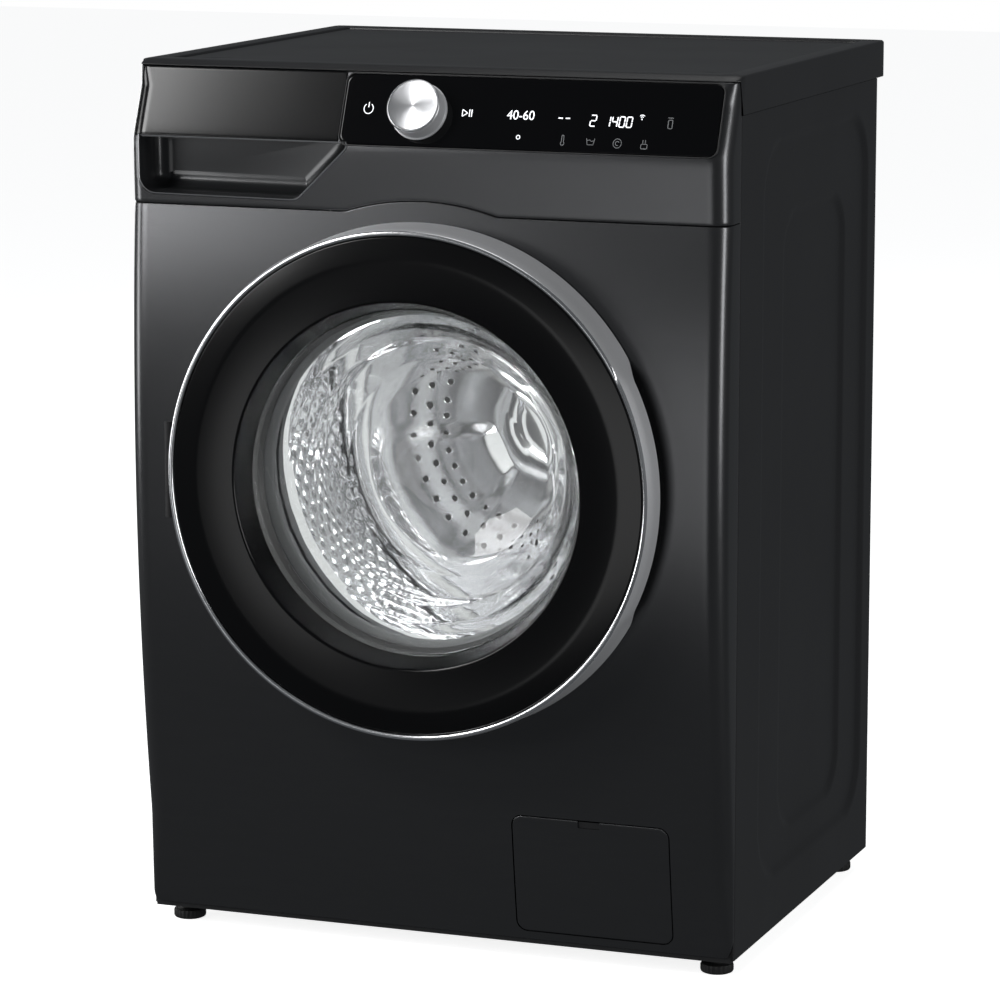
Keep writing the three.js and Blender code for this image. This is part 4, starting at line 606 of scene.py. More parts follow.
CIRCUIT = Finish("circuit_board", (0.012, 0.07, 0.025), 0.5, Grain.SPANGLE, tone=0.3)
POCKET = Finish("pocket_graphite", (0.03, 0.031, 0.033), 0.3, Grain.ORANGE_PEEL, metallic=0.4, tone=0.08,
                relief=0.00001, coat=0.15)
# Painted highlight: a lighter metal finish on the handle pocket's lip, standing in for the light line along
# its rim.
PAINTED_LIP_HIGHLIGHT = Finish("painted_lip_highlight", (0.3, 0.305, 0.315), 0.35, Grain.BRUSHED, metallic=0.7, relief=0.000004)
LIT_MARK = Finish("lit_mark", (0.9, 0.92, 0.95), 0.5, Grain.MOULDED, tone=0.03, glow=1.1)
DIM_MARK = Finish("dim_mark", (0.16, 0.165, 0.17), 0.5, Grain.MOULDED, tone=0.03, glow=0.35)
# Painted shade: near-black discs in the drain holes and screw sockets stand in for the shade inside them.
PAINTED_HOLE_SHADE = Finish("painted_hole_shade", (0.004, 0.004, 0.004), 0.7, Grain.MOULDED, tone=0.1)
SCREW_STEEL = Finish("screw_steel", (0.4, 0.4, 0.41), 0.35, Grain.CAST, metallic=1.0, relief=0.00002)

SLOT_FINISHES: dict[str, Finish] = {
    "graphite_paint": GRAPHITE, "graphite_plastic": GRAPHITE, "satin_black_paint": SATIN_BLACK,
    "worktop_black": WORKTOP, "gloss_black": GLOSS_BLACK, "satin_trim": SATIN_TRIM,
    "spun_aluminium": SPUN, "stainless": STAINLESS, "galvanised": GALVANISED,
    "cast_aluminium": CAST_ALUMINIUM, "cast_iron": CAST_IRON, "grey_plastic": GREY_PLASTIC,
    "white_plastic": WHITE_PLASTIC, "black_plastic": BLACK_PLASTIC, "grey_rubber": GREY_RUBBER,
    "black_rubber": BLACK_RUBBER, "concrete": CONCRETE, "circuit_board": CIRCUIT,
}


# ------------------------------------------------------------------------------------------ pieces


@dataclass(frozen=True)
class Bend:
    """A soft piece's two bodies, and the points (mm) where it leaves the first and reaches the second."""

    first: str
    second: str
    start: tuple[float, float, float]
    end: tuple[float, float, float]


def to_row(points: Array) -> Array:
    """Points in metres in the row frame."""
    return np.asarray(points, float) * MM + (0, FRONT_LINE, 0)


def gather(items: bpy.types.bpy_prop_collection, name: str, width: int = 3, kind: type = np.float32) -> Array:
    """Reads one attribute of every item of a mesh.

    Args:
        items: Its vertices, corners or faces.
        name: Name of the attribute.
        width: Numbers in each value.
        kind: What the numbers are.

    Returns:
        Array with a row for each item, or a flat one where the width is one.
    """
    values = np.zeros(len(items) * width, kind)
    items.foreach_get(name, values)
    return values.reshape(-1, width) if width > 1 else values


def mesh_from(name: str, skin: Skin) -> bpy.types.Mesh:
    """Mesh of a skin, in metres, with doubles merged and faces turned out.

    Args:
        name: Name of the mesh.
        skin: The surface, in millimetres.

    Returns:
        The mesh.
    """
    mesh = bpy.data.meshes.new(name)
    mesh.from_pydata(to_row(skin.points).tolist(), [], skin.faces)
    mesh.polygons.foreach_set("material_index", skin.marks)
    if skin.uv is not None:
        corners = gather(mesh.loops, "vertex_index", 1, np.int32)
        mesh.uv_layers.new(name="UVMap").data.foreach_set("uv", skin.uv[corners].astype(np.float32).ravel())
    work = bmesh.new()
    work.from_mesh(mesh)
    bmesh.ops.remove_doubles(work, verts=work.verts, dist=WELD)
    bmesh.ops.dissolve_degenerate(work, edges=work.edges, dist=WELD)
    bmesh.ops.recalc_face_normals(work, faces=work.faces)
    work.to_mesh(mesh)
    work.free()
    return mesh


def carve(piece: bpy.types.Object, cutters: Sequence[Skin]) -> None:
    """Cuts holes through a piece with closed cutters, and keeps the result as its mesh.

    Args:
        piece: The piece, with its materials already on it.
        cutters: The closed skins.
    """
    for number, cutter in enumerate(cutters):
        tool = bpy.data.objects.new(f"cutter_{number}", mesh_from("cutter", cutter))
        bpy.context.scene.collection.objects.link(tool)
        cut = piece.modifiers.new("cut", "BOOLEAN")
        cut.operation, cut.solver, cut.object = "DIFFERENCE", "EXACT", tool
        graph = bpy.context.evaluated_depsgraph_get()
        fresh = bpy.data.meshes.new_from_object(piece.evaluated_get(graph))
        piece.modifiers.clear()
        piece.data = fresh
        bpy.data.objects.remove(tool)


def add_piece(name: str, skin: Skin, body: str | Bend,
              finishes: Sequence[Finish | bpy.types.Material], stands_for: Sequence[str] = (),
              cutters: Sequence[Skin] = (), crease: float = 34.0) -> bpy.types.Object:
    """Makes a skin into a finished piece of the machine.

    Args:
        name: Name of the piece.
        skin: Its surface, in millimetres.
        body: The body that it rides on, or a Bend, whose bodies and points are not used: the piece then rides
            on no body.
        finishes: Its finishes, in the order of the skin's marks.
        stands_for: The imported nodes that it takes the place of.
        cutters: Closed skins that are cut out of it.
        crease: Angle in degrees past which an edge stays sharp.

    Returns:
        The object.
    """
    piece = bpy.data.objects.new(name, mesh_from(name, skin))
    bpy.context.scene.collection.objects.link(piece)
    for finish in finishes:
        piece.data.materials.append(finish.build() if isinstance(finish, Finish) else finish)
    if cutters:
        carve(piece, cutters)
    piece.data.shade_smooth()
    piece.data.set_sharp_from_angle(angle=math.radians(crease))
    if isinstance(body, Bend):
        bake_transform(piece)
    else:
        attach(piece, body)
    if stands_for:
        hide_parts(*stands_for)
    LOG.info("%s: %d faces", name, len(piece.data.polygons))
    return piece


# ------------------------------------------------------------------------------------------ front form


@dataclass(frozen=True)
class FrontForm:
    """The bowed front, the leaning fascia above it, and how both wrap round the corners."""

    half_width: float = 299.0
    corner: float = 18.0
    side_seam: float = 45.0
    gap: float = 0.5
    bow_middle: float = 502.0
    bow_reach: float = 480.0
    bow_depth: float = 40.0
    seam: float = 716.0
    ledge: float = 778.0
    ledge_y: float = 5.5
    bend: float = 1.6
    lean: float = math.radians(23)
    door_z: float = 466.0
    hump_radius: float = 262.0
    hump_half: float = 84.0
    top: float = 844.4

    def panel_y(self, z: Array | float) -> Array:
        """Depth of the bowed panel: a parabola in height, foremost at the bow's middle."""
        return self.bow_depth * ((z - self.bow_middle) / self.bow_reach) ** 2

    def fascia_y(self, z: Array | float) -> Array:
        """Depth of the fascia: the larger of an upright run and a leaning one, with a rounded bend.

        Args:
            z: Heights.

        Returns:
            Array of depths.
        """
        low = self.panel_y(self.seam)
        upright = low + (self.ledge_y - low) * (z - self.seam) / (self.ledge - self.seam)
        leaning = self.ledge_y + (z - self.ledge) * math.tan(self.lean)
        return (upright + leaning + np.sqrt((upright - leaning) ** 2 + self.bend**2)) / 2

    def seam_z(self, x: Array) -> Array:
        """Height of the seam: level, humped over the door by a circle about the door's middle."""
        arc = self.door_z + np.sqrt(np.maximum(self.hump_radius**2 - x**2, 0))
        return np.where(np.abs(x) <= self.hump_half, np.maximum(arc, self.seam), self.seam)

    def corner_radius(self, face_y: Array) -> Array:
        """Radius of the corner where the face lies at that depth: it shrinks to fit before the side."""
        return np.maximum(np.minimum(self.corner, self.side_seam - face_y - 1), 0.3)

    def wrapped_y(self, x: Array, face_y: Array) -> Array:
        """Depth of the face at x: level in the middle, a quarter circle at the corners."""
        radius = self.corner_radius(face_y)
        over = np.clip(np.abs(x) - (self.half_width - radius), 0, radius)
        return face_y + radius - np.sqrt(radius**2 - over**2)

    def columns(self, count: int, arc: int = 9) -> tuple[Array, Array, Array]:
        """Columns of a wrapped grid, from the left seam round both corners to the right seam.

        Args:
            count: Places across the level front.
            arc: Places round each corner.

        Returns:
            Each column's share of the level front, its turn round the corner, and whether it is a seam.
        """
        turn = np.linspace(0, QUARTER, arc)
        level = np.linspace(-1, 1, count)[1:-1]
        share = np.concatenate([-np.ones(arc + 1), level, np.ones(arc + 1)])
        turns = np.concatenate([[0], turn, np.full(len(level), QUARTER), turn[::-1], [0]])
        seams = np.zeros(len(share), bool)
        seams[[0, -1]] = True
        return share, turns, seams

    def wrap(self, columns: tuple[Array, Array, Array], face_y: Array, inset: Array, z: Array) -> Array:
        """Points of a wrapped grid: level across the front, a quarter circle at each corner, then back.

        Args:
            columns: Share, turn and seam of each column.
            face_y: Depth of the face at each point.
            inset: How far each point lies inside the face.
            z: Height of each point.

        Returns:
            Array of rows, columns and three coordinates.
        """
        share, turn, seam = columns
        radius = np.maximum(self.corner_radius(face_y) - inset, 0.3)
        run = self.half_width - inset
        x = share * (run - radius) + np.sign(share) * radius * np.cos(turn)
        y = face_y + inset + radius * (1 - np.sin(turn))
        y = np.where(seam, self.side_seam - self.gap, y)
        return np.stack(np.broadcast_arrays(x, y, z), -1)

    def on_slope(self, x: Array, along: Array, depth: Array | float) -> Array:
        """Points on the leaning face.

        Args:
            x: Places across it.
            along: Runs up it from the ledge.
            depth: Depths into it.

        Returns:
            Array of points.
        """
        y = self.ledge_y + along * math.sin(self.lean) + depth * math.cos(self.lean)
        z = self.ledge + along * math.cos(self.lean) - depth * math.sin(self.lean)
        return np.stack(np.broadcast_arrays(x, y, z), -1)

    def up_slope(self, z: float) -> float:
        """Run up the leaning face to height z."""
        return (z - self.ledge) / math.cos(self.lean)

    def band(self, face: str, low: Array, high: Array, columns: tuple[Array, Array, Array], wall: float,
             curl: float, levels: Array) -> Skin:
        """A bent sheet whose two long edges curl in: a closed strip in section, carried round the front.

        Args:
            face: Name of the method that gives the depth of its face.
            low: Height of its lower edge at each column.
            high: Height of its upper edge at each column.
            columns: The columns of the wrapped grid.
            wall: Its thickness.
            curl: Radius of its edges.
            levels: Shares of its height where its rows lie.

        Returns:
            The closed skin.
        """
        turn = np.linspace(0, QUARTER, 4)
        rise = np.concatenate([-np.sin(turn[::-1]) * curl, np.zeros(len(levels) - 2), np.sin(turn) * curl])
        share = np.concatenate([np.zeros(len(turn)), levels[1:-1], np.ones(len(turn))])
        inset = np.concatenate([curl * (1 - np.cos(turn[::-1])), np.zeros(len(levels) - 2),
                                curl * (1 - np.cos(turn))])
        z = low + curl + (high - low - 2 * curl) * share[:, None] + rise[:, None]
        back_z = (low + (high - low) * levels[::-1, None])
        every_z = np.vstack([z, back_z])
        every_inset = np.concatenate([inset, np.full(len(levels), wall)])[:, None]
        depth = getattr(self, face)(every_z)
        points = self.wrap(columns, depth, every_inset, every_z)
        uv = np.stack([points[..., 0], points[..., 2]], -1) / 1000
        return grid(points, loop_rows=True, caps=True, uv=uv)


FORM = FrontForm()


# ------------------------------------------------------------------------------------------ cabinet


@dataclass
class Cabinet:
    """The panels round the machine: front, sides, worktop and the covers behind."""

    wall: float = 1.5
    curl: float = 1.1
    front_columns: int = 220
    front_rows: int = 90
    bottom: float = 22.0
    toe_corner: float = 16.0
    opening: float = 203.0
    latch_slot: tuple[float, float] = (206.0, 221.0)
    latch_half: float = 16.0
    hinge_slots: tuple[float, float] = (-252.0, -242.0)
    hinge_reach: tuple[float, float] = (19.0, 50.0)
    flap_x: tuple[float, float] = (85.0, 241.0)
    flap_z: tuple[float, float] = (31.0, 147.0)
    flap_corner: float = 10.0
    flap_gap: float = 1.0
    flap_wall: float = 2.0
    finger_x: tuple[float, float] = (151.0, 173.0)
    finger_z: tuple[float, float] = (140.0, 156.0)
    side_y: tuple[float, float] = (45.0, 495.0)
    side_z: tuple[float, float] = (19.0, 813.5)
    side_edge: float = 1.8
    fields: tuple[tuple[float, ...], ...] = ((118, 466, 70, 784, 58, 3.5), (192, 398, 104, 712, 46, 3.0))
    slope: float = 8.0
    top_half: float = 300.0
    top_front: float = 35.0
    top_z: float = 850.0
    top_rim: float = 22.0
    rim_extra: float = 12.0
    top_edge: float = 2.4
    recess: float = 2.0
    skirt_z: float = 814.0
    skirt_y: float = 46.0
    skirt_wall: float = 2.5
    bevel_run: float = 8.0
    bevel_drop: float = 4.4
    cover_z: float = 446.0
    cover_section: Corners = ((0, 506.8, 0), (168, 506.8, 5), (182, 498.3, 5), (204, 498.3, 0.7),
                              (204, 496.8, 0), (181, 496.8, 5), (167, 505.3, 5), (0, 505.3, 0))
    cover_screws: tuple[float, float] = (193.0, 498.4)
    rear_face: float = 496.6
    rear_screw_z: tuple[float, ...] = (60, 250, 440, 630, 790)
    screw_section: Corners = ((0, -2.2, 0), (2.4, -2.2, 1), (4.2, -0.9, 0.8), (4.4, 0, 0), (0, 0, 0))
    cap_section: Corners = ((0, -4, 0), (9, -4, 2), (12, -2.5, 1), (15, -2, 0.5), (15, 0, 0), (0, 0, 0))
    top_steps: int = 420
    top_run: float = 6.0

    def build(self) -> None:
        """Builds every panel."""
        self.build_front()
        self.build_sides()
        self.build_worktop()
        self.build_flap()
        self.build_rear()

    def build_front(self) -> None:
        """The bowed front panel, with the door's opening, the flap's and the slots cut through it."""
        columns = FORM.columns(self.front_columns)
        x = columns[0] * (FORM.half_width - FORM.corner / 2)
        side = FORM.half_width - np.abs(x) - FORM.corner / 2 * np.cos(columns[1])
        low = self.bottom + edge_drop(side, self.toe_corner)
        high = FORM.seam_z(x) - FORM.gap / 2
        skin = FORM.band("panel_y", low, high, columns, self.wall, self.curl,
                         np.linspace(0, 1, self.front_rows))
        door = prism(circle(self.opening, 0, FORM.door_z, 120), *THROUGH)
        flap = prism(rounded_box(grow(self.flap_x, self.flap_gap), grow(self.flap_z, self.flap_gap),
                                 self.flap_corner + self.flap_gap), *THROUGH)
        latch = block(self.latch_slot, THROUGH, grow((FORM.door_z, FORM.door_z), self.latch_half))
        spans = [sorted(FORM.door_z + side * reach for reach in self.hinge_reach) for side in (-1, 1)]
        hinges = [block(self.hinge_slots, THROUGH, span) for span in spans]
        piece = add_piece("front_panel_skin", skin, "cabinet", [GRAPHITE], ["front_panel"],
                          [door, flap, latch, *hinges])
        level_normals(piece)

    def build_flap(self) -> None:
        """The service flap: a plate that follows the panel, with a finger slot at its top."""
        x, z, fall = plate(self.flap_x, self.flap_z, self.flap_corner, 0.8, (60, 46))
        face = np.stack([x, FORM.panel_y(z) + fall, z], -1)
        back = np.stack([x, FORM.panel_y(z) + self.flap_wall, z], -1)
        slot = prism(rounded_box(self.finger_x, self.finger_z, 1.5), *THROUGH)
        piece = add_piece("filter_flap_skin", sheet(face, back), "flap", [GRAPHITE],
                          ["filter_flap"], [slot])
        box_uv(piece)
        rim = prism(rounded_box(grow(self.finger_x, -0.2), (140.2, 146.4), 1.3), 0, 0.1)
        rim.points[:, 1] += FORM.panel_y(rim.points[:, 2]) + 1.2
        add_piece("flap_catch", rim, "flap", [BLACK_PLASTIC])

    def build_sides(self) -> None:
        """Both side walls, pressed by two nested fields: each sinks by a smoothstep of the way in."""
        ys = np.concatenate([self.side_y[0] + self.side_edge * (1 - np.cos(np.linspace(0, QUARTER, 5)[:-1])),
                             np.linspace(self.side_y[0] + self.side_edge, self.side_y[1], 128)])
        zs = np.linspace(*self.side_z, 220)
        y, z = np.meshgrid(ys, zs)
        sunk = edge_drop(y - self.side_y[0], self.side_edge) * 0.8
        for y0, y1, z0, z1, corner, depth in self.fields:
            sunk = sunk + depth * smoothstep(box_distance(y, z, (y0, y1), (z0, z1), corner) / self.slope)
        outer = np.stack([FORM.half_width - sunk, y, z], -1)
        inner = outer - (self.wall, 0, 0)
        right = sheet(outer, inner)
        add_piece("side_panel_right_skin", right, "cabinet", [SATIN_BLACK],
                  ["side_panel_right"])
        add_piece("side_panel_left_skin", right.mirrored(), "cabinet", [SATIN_BLACK],
                  ["side_panel_left"])

    def build_worktop(self) -> None:
        """The worktop: one outline, drawn in and lifted row by row, from skirt to bevel, rim and recess."""
        def ring(inset: float, front: float, z: float, skirt: float | None = None) -> Array:
            """One outline of the worktop.

            Args:
                inset: How far it is drawn in at the sides and the rear.
                front: How far it is drawn in at the front.
                z: Its height.
                skirt: Its height behind the skirt's start, where that differs.

            Returns:
                Array of points.
            """
            half, corner = self.top_half - inset, max(9.0 - inset, 2.0)
            rear = WORKTOP_REAR - inset
            plan = dense(rounded_box((-half, half), (self.top_front + front, rear), corner), self.top_run)
            plan = resample(plan, self.top_steps)
            height = np.full(len(plan), z)
            if skirt is not None:
                height = np.where(plan[:, 1] < self.skirt_y, z, skirt)
            return np.column_stack([plan, height])
        low = self.top_z - 5.0
        wall, edge, sink = self.skirt_wall, self.top_edge, self.recess
        rows = [ring(wall, wall, low, low),
                ring(wall, wall, low, self.skirt_z),
                ring(0.4, 0.2, low, self.skirt_z),
                ring(0, 0, low + 0.2, self.skirt_z + 0.5),
                ring(0, 0, self.top_z - self.bevel_drop, self.top_z - edge)]
        for step in np.linspace(0, 1, 6)[1:]:
            side = edge * (1 - math.cos(step * QUARTER))
            height = self.top_z - self.bevel_drop * (1 - step**0.8)
            skirt = self.top_z - edge * (1 - math.sin(step * QUARTER))
            rows.append(ring(side, self.bevel_run * step, height, skirt))
        steps_in = ((-2.0, 0.0), (-1.4, 0.25), (-0.8, 1.0), (-0.4, sink + 0.6), (1.2, sink + 0.8),
                    (2.4, sink), (40, sink))
        for past_rim, drop in steps_in:
            inset = self.top_rim + past_rim
            rows.append(ring(inset, inset + self.rim_extra, self.top_z - drop))
        skin = grid(np.stack(rows), loop_columns=True, caps=True)
        add_piece("worktop", skin, "cabinet", [WORKTOP], ["top_cover"], crease=28)

    def build_rear(self) -> None:
        """The round access cover, its screws, the screws of the back panel and the transit bolt caps."""
        line = drawn(self.cover_section)
        ribs = 1.6 * smoothstep((np.sin(line[:, 0] / 150 * math.pi * 4) - 0.2) / 0.5) * (line[:, 0] < 150)
        line[:, 1] -= ribs
        add_piece("rear_cover_dome", lathe(line, 120, (0, self.cover_z)), "cabinet",
                  [GALVANISED], ["rear_access_cover"])
        socket = grid(np.stack([circle_points(1.6, -2.25, 6), circle_points(1.5, -2.4, 6)]),
                      loop_columns=True, caps=True)
        # The socket takes the painted shade finish: a dark recess where shade would fall.
        head = join(lathe(drawn(self.screw_section), 20, (0, 0)), socket.marked(1))
        turn = np.arange(8) * TURN / 8 + TURN / 16
        reach, depth = self.cover_screws
        places = [(reach * math.cos(a), depth, self.cover_z + reach * math.sin(a)) for a in turn]
        places += [(x, self.rear_face, z) for x in (-285, 285) for z in self.rear_screw_z]
        centres = np.array(places)
        add_piece("rear_screws", scatter(head, centres, np.tile((0, 1.0, 0), (len(centres), 1))), "cabinet",
                  [SCREW_STEEL, PAINTED_HOLE_SHADE])
        cap = lathe(drawn(self.cap_section), 36, (0, 0))
        bolts = np.array([(x, self.rear_face, z) for x in (-225, 225) for z in (215, 690)], float)
        add_piece("transit_bolt_caps", scatter(cap, bolts, np.tile((0, 1.0, 0), (4, 1))), "cabinet",
                  [GREY_PLASTIC])


def circle(radius: float, x: float, z: float, steps: int) -> Array:
    """Points of a circle in the front plane."""
    turn = np.arange(steps) * TURN / steps
    return np.stack([x + radius * np.cos(turn), z + radius * np.sin(turn)], -1)


def circle_points(radius: float, y: float, steps: int) -> Array:
    """Points of a circle about the Y axis, at a depth."""
    flat = circle(radius, 0, 0, steps)
    return np.column_stack([flat[:, 0], np.full(steps, y), flat[:, 1]])


def grow(span: Sequence[float], margin: float) -> tuple[float, float]:
    """A span widened at both ends."""
    return span[0] - margin, span[1] + margin


def dense(outline: Array, step: float) -> Array:
    """A closed outline with points no further apart than a step.

    Args:
        outline: Array of its points.
        step: The longest run.

    Returns:
        The outline with points added on its straight runs.
    """
    ahead = np.roll(outline, -1, axis=0)
    counts = np.maximum(np.ceil(np.linalg.norm(ahead - outline, axis=1) / step), 1).astype(int)
    return np.vstack([a + (b - a) * np.arange(n)[:, None] / n for a, b, n in zip(outline, ahead, counts)])


def resample(outline: Array, count: int) -> Array:
    """A closed outline walked at even steps of the angle about its middle, so that rings line up.

    Args:
        outline: Array of its points.
        count: Points in the result.

    Returns:
        Array of points on the outline.
    """
    middle = (outline.max(0) + outline.min(0)) / 2
    size = (outline.max(0) - outline.min(0)) / 2
    scaled = (outline - middle) / size
    angle = np.unwrap(np.arctan2(scaled[:, 1], scaled[:, 0]))
    order = np.argsort(angle)
    wanted = np.linspace(angle.min(), angle.min() + TURN, count, endpoint=False)
    angles = np.append(angle[order], angle[order][0] + TURN)
    loop = np.vstack([outline[order], outline[order][:1]])
    return np.stack([np.interp(wanted, angles, loop[:, i]) for i in range(2)], -1)


def by_corner(mesh: bpy.types.Mesh, values: Array) -> Array:
    """A row for each face, repeated for each of the face's corners."""
    return np.repeat(values, gather(mesh.polygons, "loop_total", 1, np.int32), axis=0)


def corner_places(mesh: bpy.types.Mesh) -> Array:
    """Where the corners of all faces lie, in metres."""
    return gather(mesh.vertices, "co")[gather(mesh.loops, "vertex_index", 1, np.int32)]


def level_normals(piece: bpy.types.Object) -> None:
    """Gives the bowed face its true normals, so that the cuts leave no mark in its shine.

    Args:
        piece: The front panel. Corners that face the way the parabola does take its slope.
    """
    mesh = piece.data
    corners = gather(mesh.corner_normals, "vector")
    places = corner_places(mesh) / MM
    own = by_corner(mesh, gather(mesh.polygons, "normal"))
    slope = 2 * FORM.bow_depth * (places[:, 2] - FORM.bow_middle) / FORM.bow_reach**2
    true = np.stack([np.zeros_like(slope), -np.ones_like(slope), slope], -1)
    true /= np.linalg.norm(true, axis=1, keepdims=True)
    flush = np.sum(own * true, axis=1) > 0.995
    level = flush & (np.abs(places[:, 0]) < FORM.half_width - FORM.corner - 1)
    corners[level] = true[level]
    mesh.normals_split_custom_set(corners.tolist())


def box_uv(piece: bpy.types.Object) -> None:
    """Pattern coordinates of a front plate: width and height, in metres.

    Args:
        piece: The plate.
    """
    mesh = piece.data
    flat = corner_places(mesh)[:, [0, 2]]
    layer = mesh.uv_layers.active or mesh.uv_layers.new(name="UVMap")
    layer.data.foreach_set("uv", flat.astype(np.float32).ravel())


# ------------------------------------------------------------------------------------------ fascia


@dataclass
class Fascia:
    """The fascia with its handle pocket, the display, the dial and the dispenser drawer's front."""

    wall: float = 4.5
    pocket: Corners = ((-286.5, 781, 0.5), (-286.5, 726.5, 16), (-126, 725, 14), (-74.5, 775, 6),
                       (-74.5, 781, 0.5))
    pocket_middle: float = -180.0
    pocket_top: float = 781.0
    pocket_flush: float = 777.0
    pocket_wall: float = 1.4
    pocket_back: float = 1.2
    pocket_depth: float = 39.0
    pocket_sweep: float = 15.0
    pocket_cut: tuple[float, float] = (-30, 70)
    lip: float = 1.7
    drawer_x: tuple[float, float] = (-293.0, -82.5)
    drawer_z: tuple[float, float] = (780.6, 844.2)
    drawer_wall: float = 6.0
    display_x: tuple[float, float] = (-81.0, 287.0)
    display_z: tuple[float, float] = (779.5, 842.4)
    display_corner: float = 8.0
    display_wall: float = 3.0
    display_gap: float = 0.5
    proud: float = 0.3
    bead_section: Corners = ((1.9, -0.1, 0), (1.9, -0.55, 0.35), (0.7, -0.55, 0.35), (0.7, -0.1, 0),
                             (0.7, 1.0, 0), (1.9, 1.0, 0))
    dial_x: float = -5.0
    dial_z: float = 810.0
    dial_radius: float = 26.0
    dial_height: float = 20.0
    dial_face: float = 1.9
    dial_sides: int = 180

    def build(self) -> None:
        """Builds every piece of the fascia."""
        self.build_panel()
        self.build_pocket()
        self.build_drawer_front()
        self.build_display()
        self.build_dial()

    def build_panel(self) -> None:
        """The fascia: a band from the seam to the ledge, and leaning from there, open for what it holds."""
        columns = FORM.columns(200)
        x = columns[0] * (FORM.half_width - FORM.corner / 2)
        low = FORM.seam_z(x) + FORM.gap / 2
        bend = (FORM.ledge - FORM.seam) / (FORM.top - FORM.seam)
        levels = np.concatenate([np.linspace(0, bend - 0.03, 22), np.linspace(bend - 0.025, bend + 0.025, 9),
                                 np.linspace(bend + 0.03, 1, 20)])
        skin = FORM.band("fascia_y", low, np.full_like(x, FORM.top), columns, self.wall, 1.2, levels)
        pocket = prism(self.pocket_outline(self.lip), *self.pocket_cut)
        drawer = block((self.drawer_x[0] - 0.5, self.drawer_x[1] + 0.3), THROUGH, (FORM.ledge + 2, 900))
        piece = add_piece("fascia_panel", skin, "cabinet", [GRAPHITE], ["control_panel"],
                          [pocket, drawer, self.display_cutter()])
        level_fascia(piece)

    def display_cutter(self) -> Skin:
        """Slab that opens the fascia for the display, larger all round by a clearance."""
        low, high = (FORM.up_slope(z) for z in self.display_z)
        gap = self.display_gap
        flat = rounded_box(grow(self.display_x, gap), grow((low, high), gap), self.display_corner + gap)
        rows = [FORM.on_slope(flat[:, 0], flat[:, 1], depth) for depth in (-8.0, 14.0)]
        return grid(np.stack(rows), loop_columns=True, caps=True)

    def pocket_outline(self, margin: float) -> Array:
        """Outline of the pocket, moved out along its normals by a margin, and level at its top.

        Args:
            margin: How far it grows, or shrinks where that is less than nothing.

        Returns:
            Array of (x, z).
        """
        centre = np.array([self.pocket_middle, self.pocket_top])
        flat = dense(drawn(self.pocket, 12, True), 2.5)
        ahead, behind = np.roll(flat, -1, axis=0), np.roll(flat, 1, axis=0)
        run = ahead - behind
        out = np.stack([-run[:, 1], run[:, 0]], -1) / np.linalg.norm(run, axis=1, keepdims=True)
        out *= np.sign(np.sum(out * (flat - centre), axis=1, keepdims=True) + 1e-9)
        grown = flat + out * margin
        grown[:, 1] = np.minimum(grown[:, 1], self.pocket_top)
        return grown

    def build_pocket(self) -> None:
        """The handle pocket: a rounded lip in a lighter finish that paints its highlight, walls that lean in,
        and a swept corner into the back wall.
        """
        turn = np.linspace(0, QUARTER, 6)
        mouth = [(self.lip * math.cos(a) - self.lip * 0.02, self.lip * (1 - math.sin(a)) - 0.1)
                 for a in (QUARTER - turn)]
        inner = [(m, d) for m, d in mouth] + [(-1.0, 8.0), (-2.2, 16.0)]
        sweep = self.pocket_sweep
        inner += [(-2.6 - sweep * (1 - math.cos(a)), self.pocket_depth - sweep + sweep * math.sin(a))
                  for a in np.linspace(0, QUARTER, 9)]
        rows = []
        for margin, depth in inner:
            flat = self.pocket_outline(margin)
            face_y = FORM.fascia_y(np.minimum(flat[:, 1], self.pocket_flush))
            rows.append(np.column_stack([flat[:, 0], face_y + depth, flat[:, 1]]))
        outer = [row + (0, self.pocket_back, 0) for row in rows]
        for row, (margin, _) in zip(outer, inner):
            wide = self.pocket_outline(margin + self.pocket_wall if margin < 0 else margin)
            row[:, 0] = wide[:, 0]
            row[:, 2] = np.minimum(wide[:, 1], self.pocket_top + 1)
        skin = grid(np.stack(rows[::-1] + outer), loop_columns=True, caps=True)
        around = len(rows[0])
        lip = slice((len(rows) - len(mouth)) * around, len(rows) * around)
        # The lip's faces take the lighter finish: a painted highlight along the rim.
        skin.marks[lip] = [1] * len(skin.marks[lip])
        add_piece("fascia_pocket", skin, "cabinet", [POCKET, PAINTED_LIP_HIGHLIGHT], crease=50)

    def build_drawer_front(self) -> None:
        """The dispenser drawer's gloss front: a plate on the leaning face that wraps the left corner."""
        x, z, fall = plate(self.drawer_x, self.drawer_z, 1.6, 1.3, (130, 40))
        y = FORM.wrapped_y(x, FORM.fascia_y(z))
        face = np.stack([x, y + fall, z], -1)
        back = np.stack([x, y + self.drawer_wall, z], -1)
        add_piece("drawer_front_skin", sheet(face, back), "drawer", [GLOSS_BLACK],
                  ["drawer_front"])

    def build_display(self) -> None:
        """The display glass with its marks, and a slim bead round it."""
        low, high = (FORM.up_slope(z) for z in self.display_z)
        x, along, fall = plate(self.display_x, (low, high), self.display_corner, 0.7, (120, 30))
        face = FORM.on_slope(x, along, fall - self.proud)
        back = FORM.on_slope(x, along, np.full_like(x, self.display_wall))
        add_piece("display_glass_skin", sheet(face, back), "cabinet", [DISPLAY],
                  ["display_glass"])
        rings = []
        for margin, depth in drawn(self.bead_section, 3):
            flat = dense(rounded_box(grow(self.display_x, margin), (low - margin, high + margin),
                                     self.display_corner + margin, 8), 500)
            rings.append(FORM.on_slope(flat[:, 0], flat[:, 1], np.full(len(flat), depth)))
        add_piece("display_bead", grid(np.stack(rings), loop_rows=True, loop_columns=True), "cabinet",
                  [BLACK_PLASTIC])
        DisplayMarks(self).build()

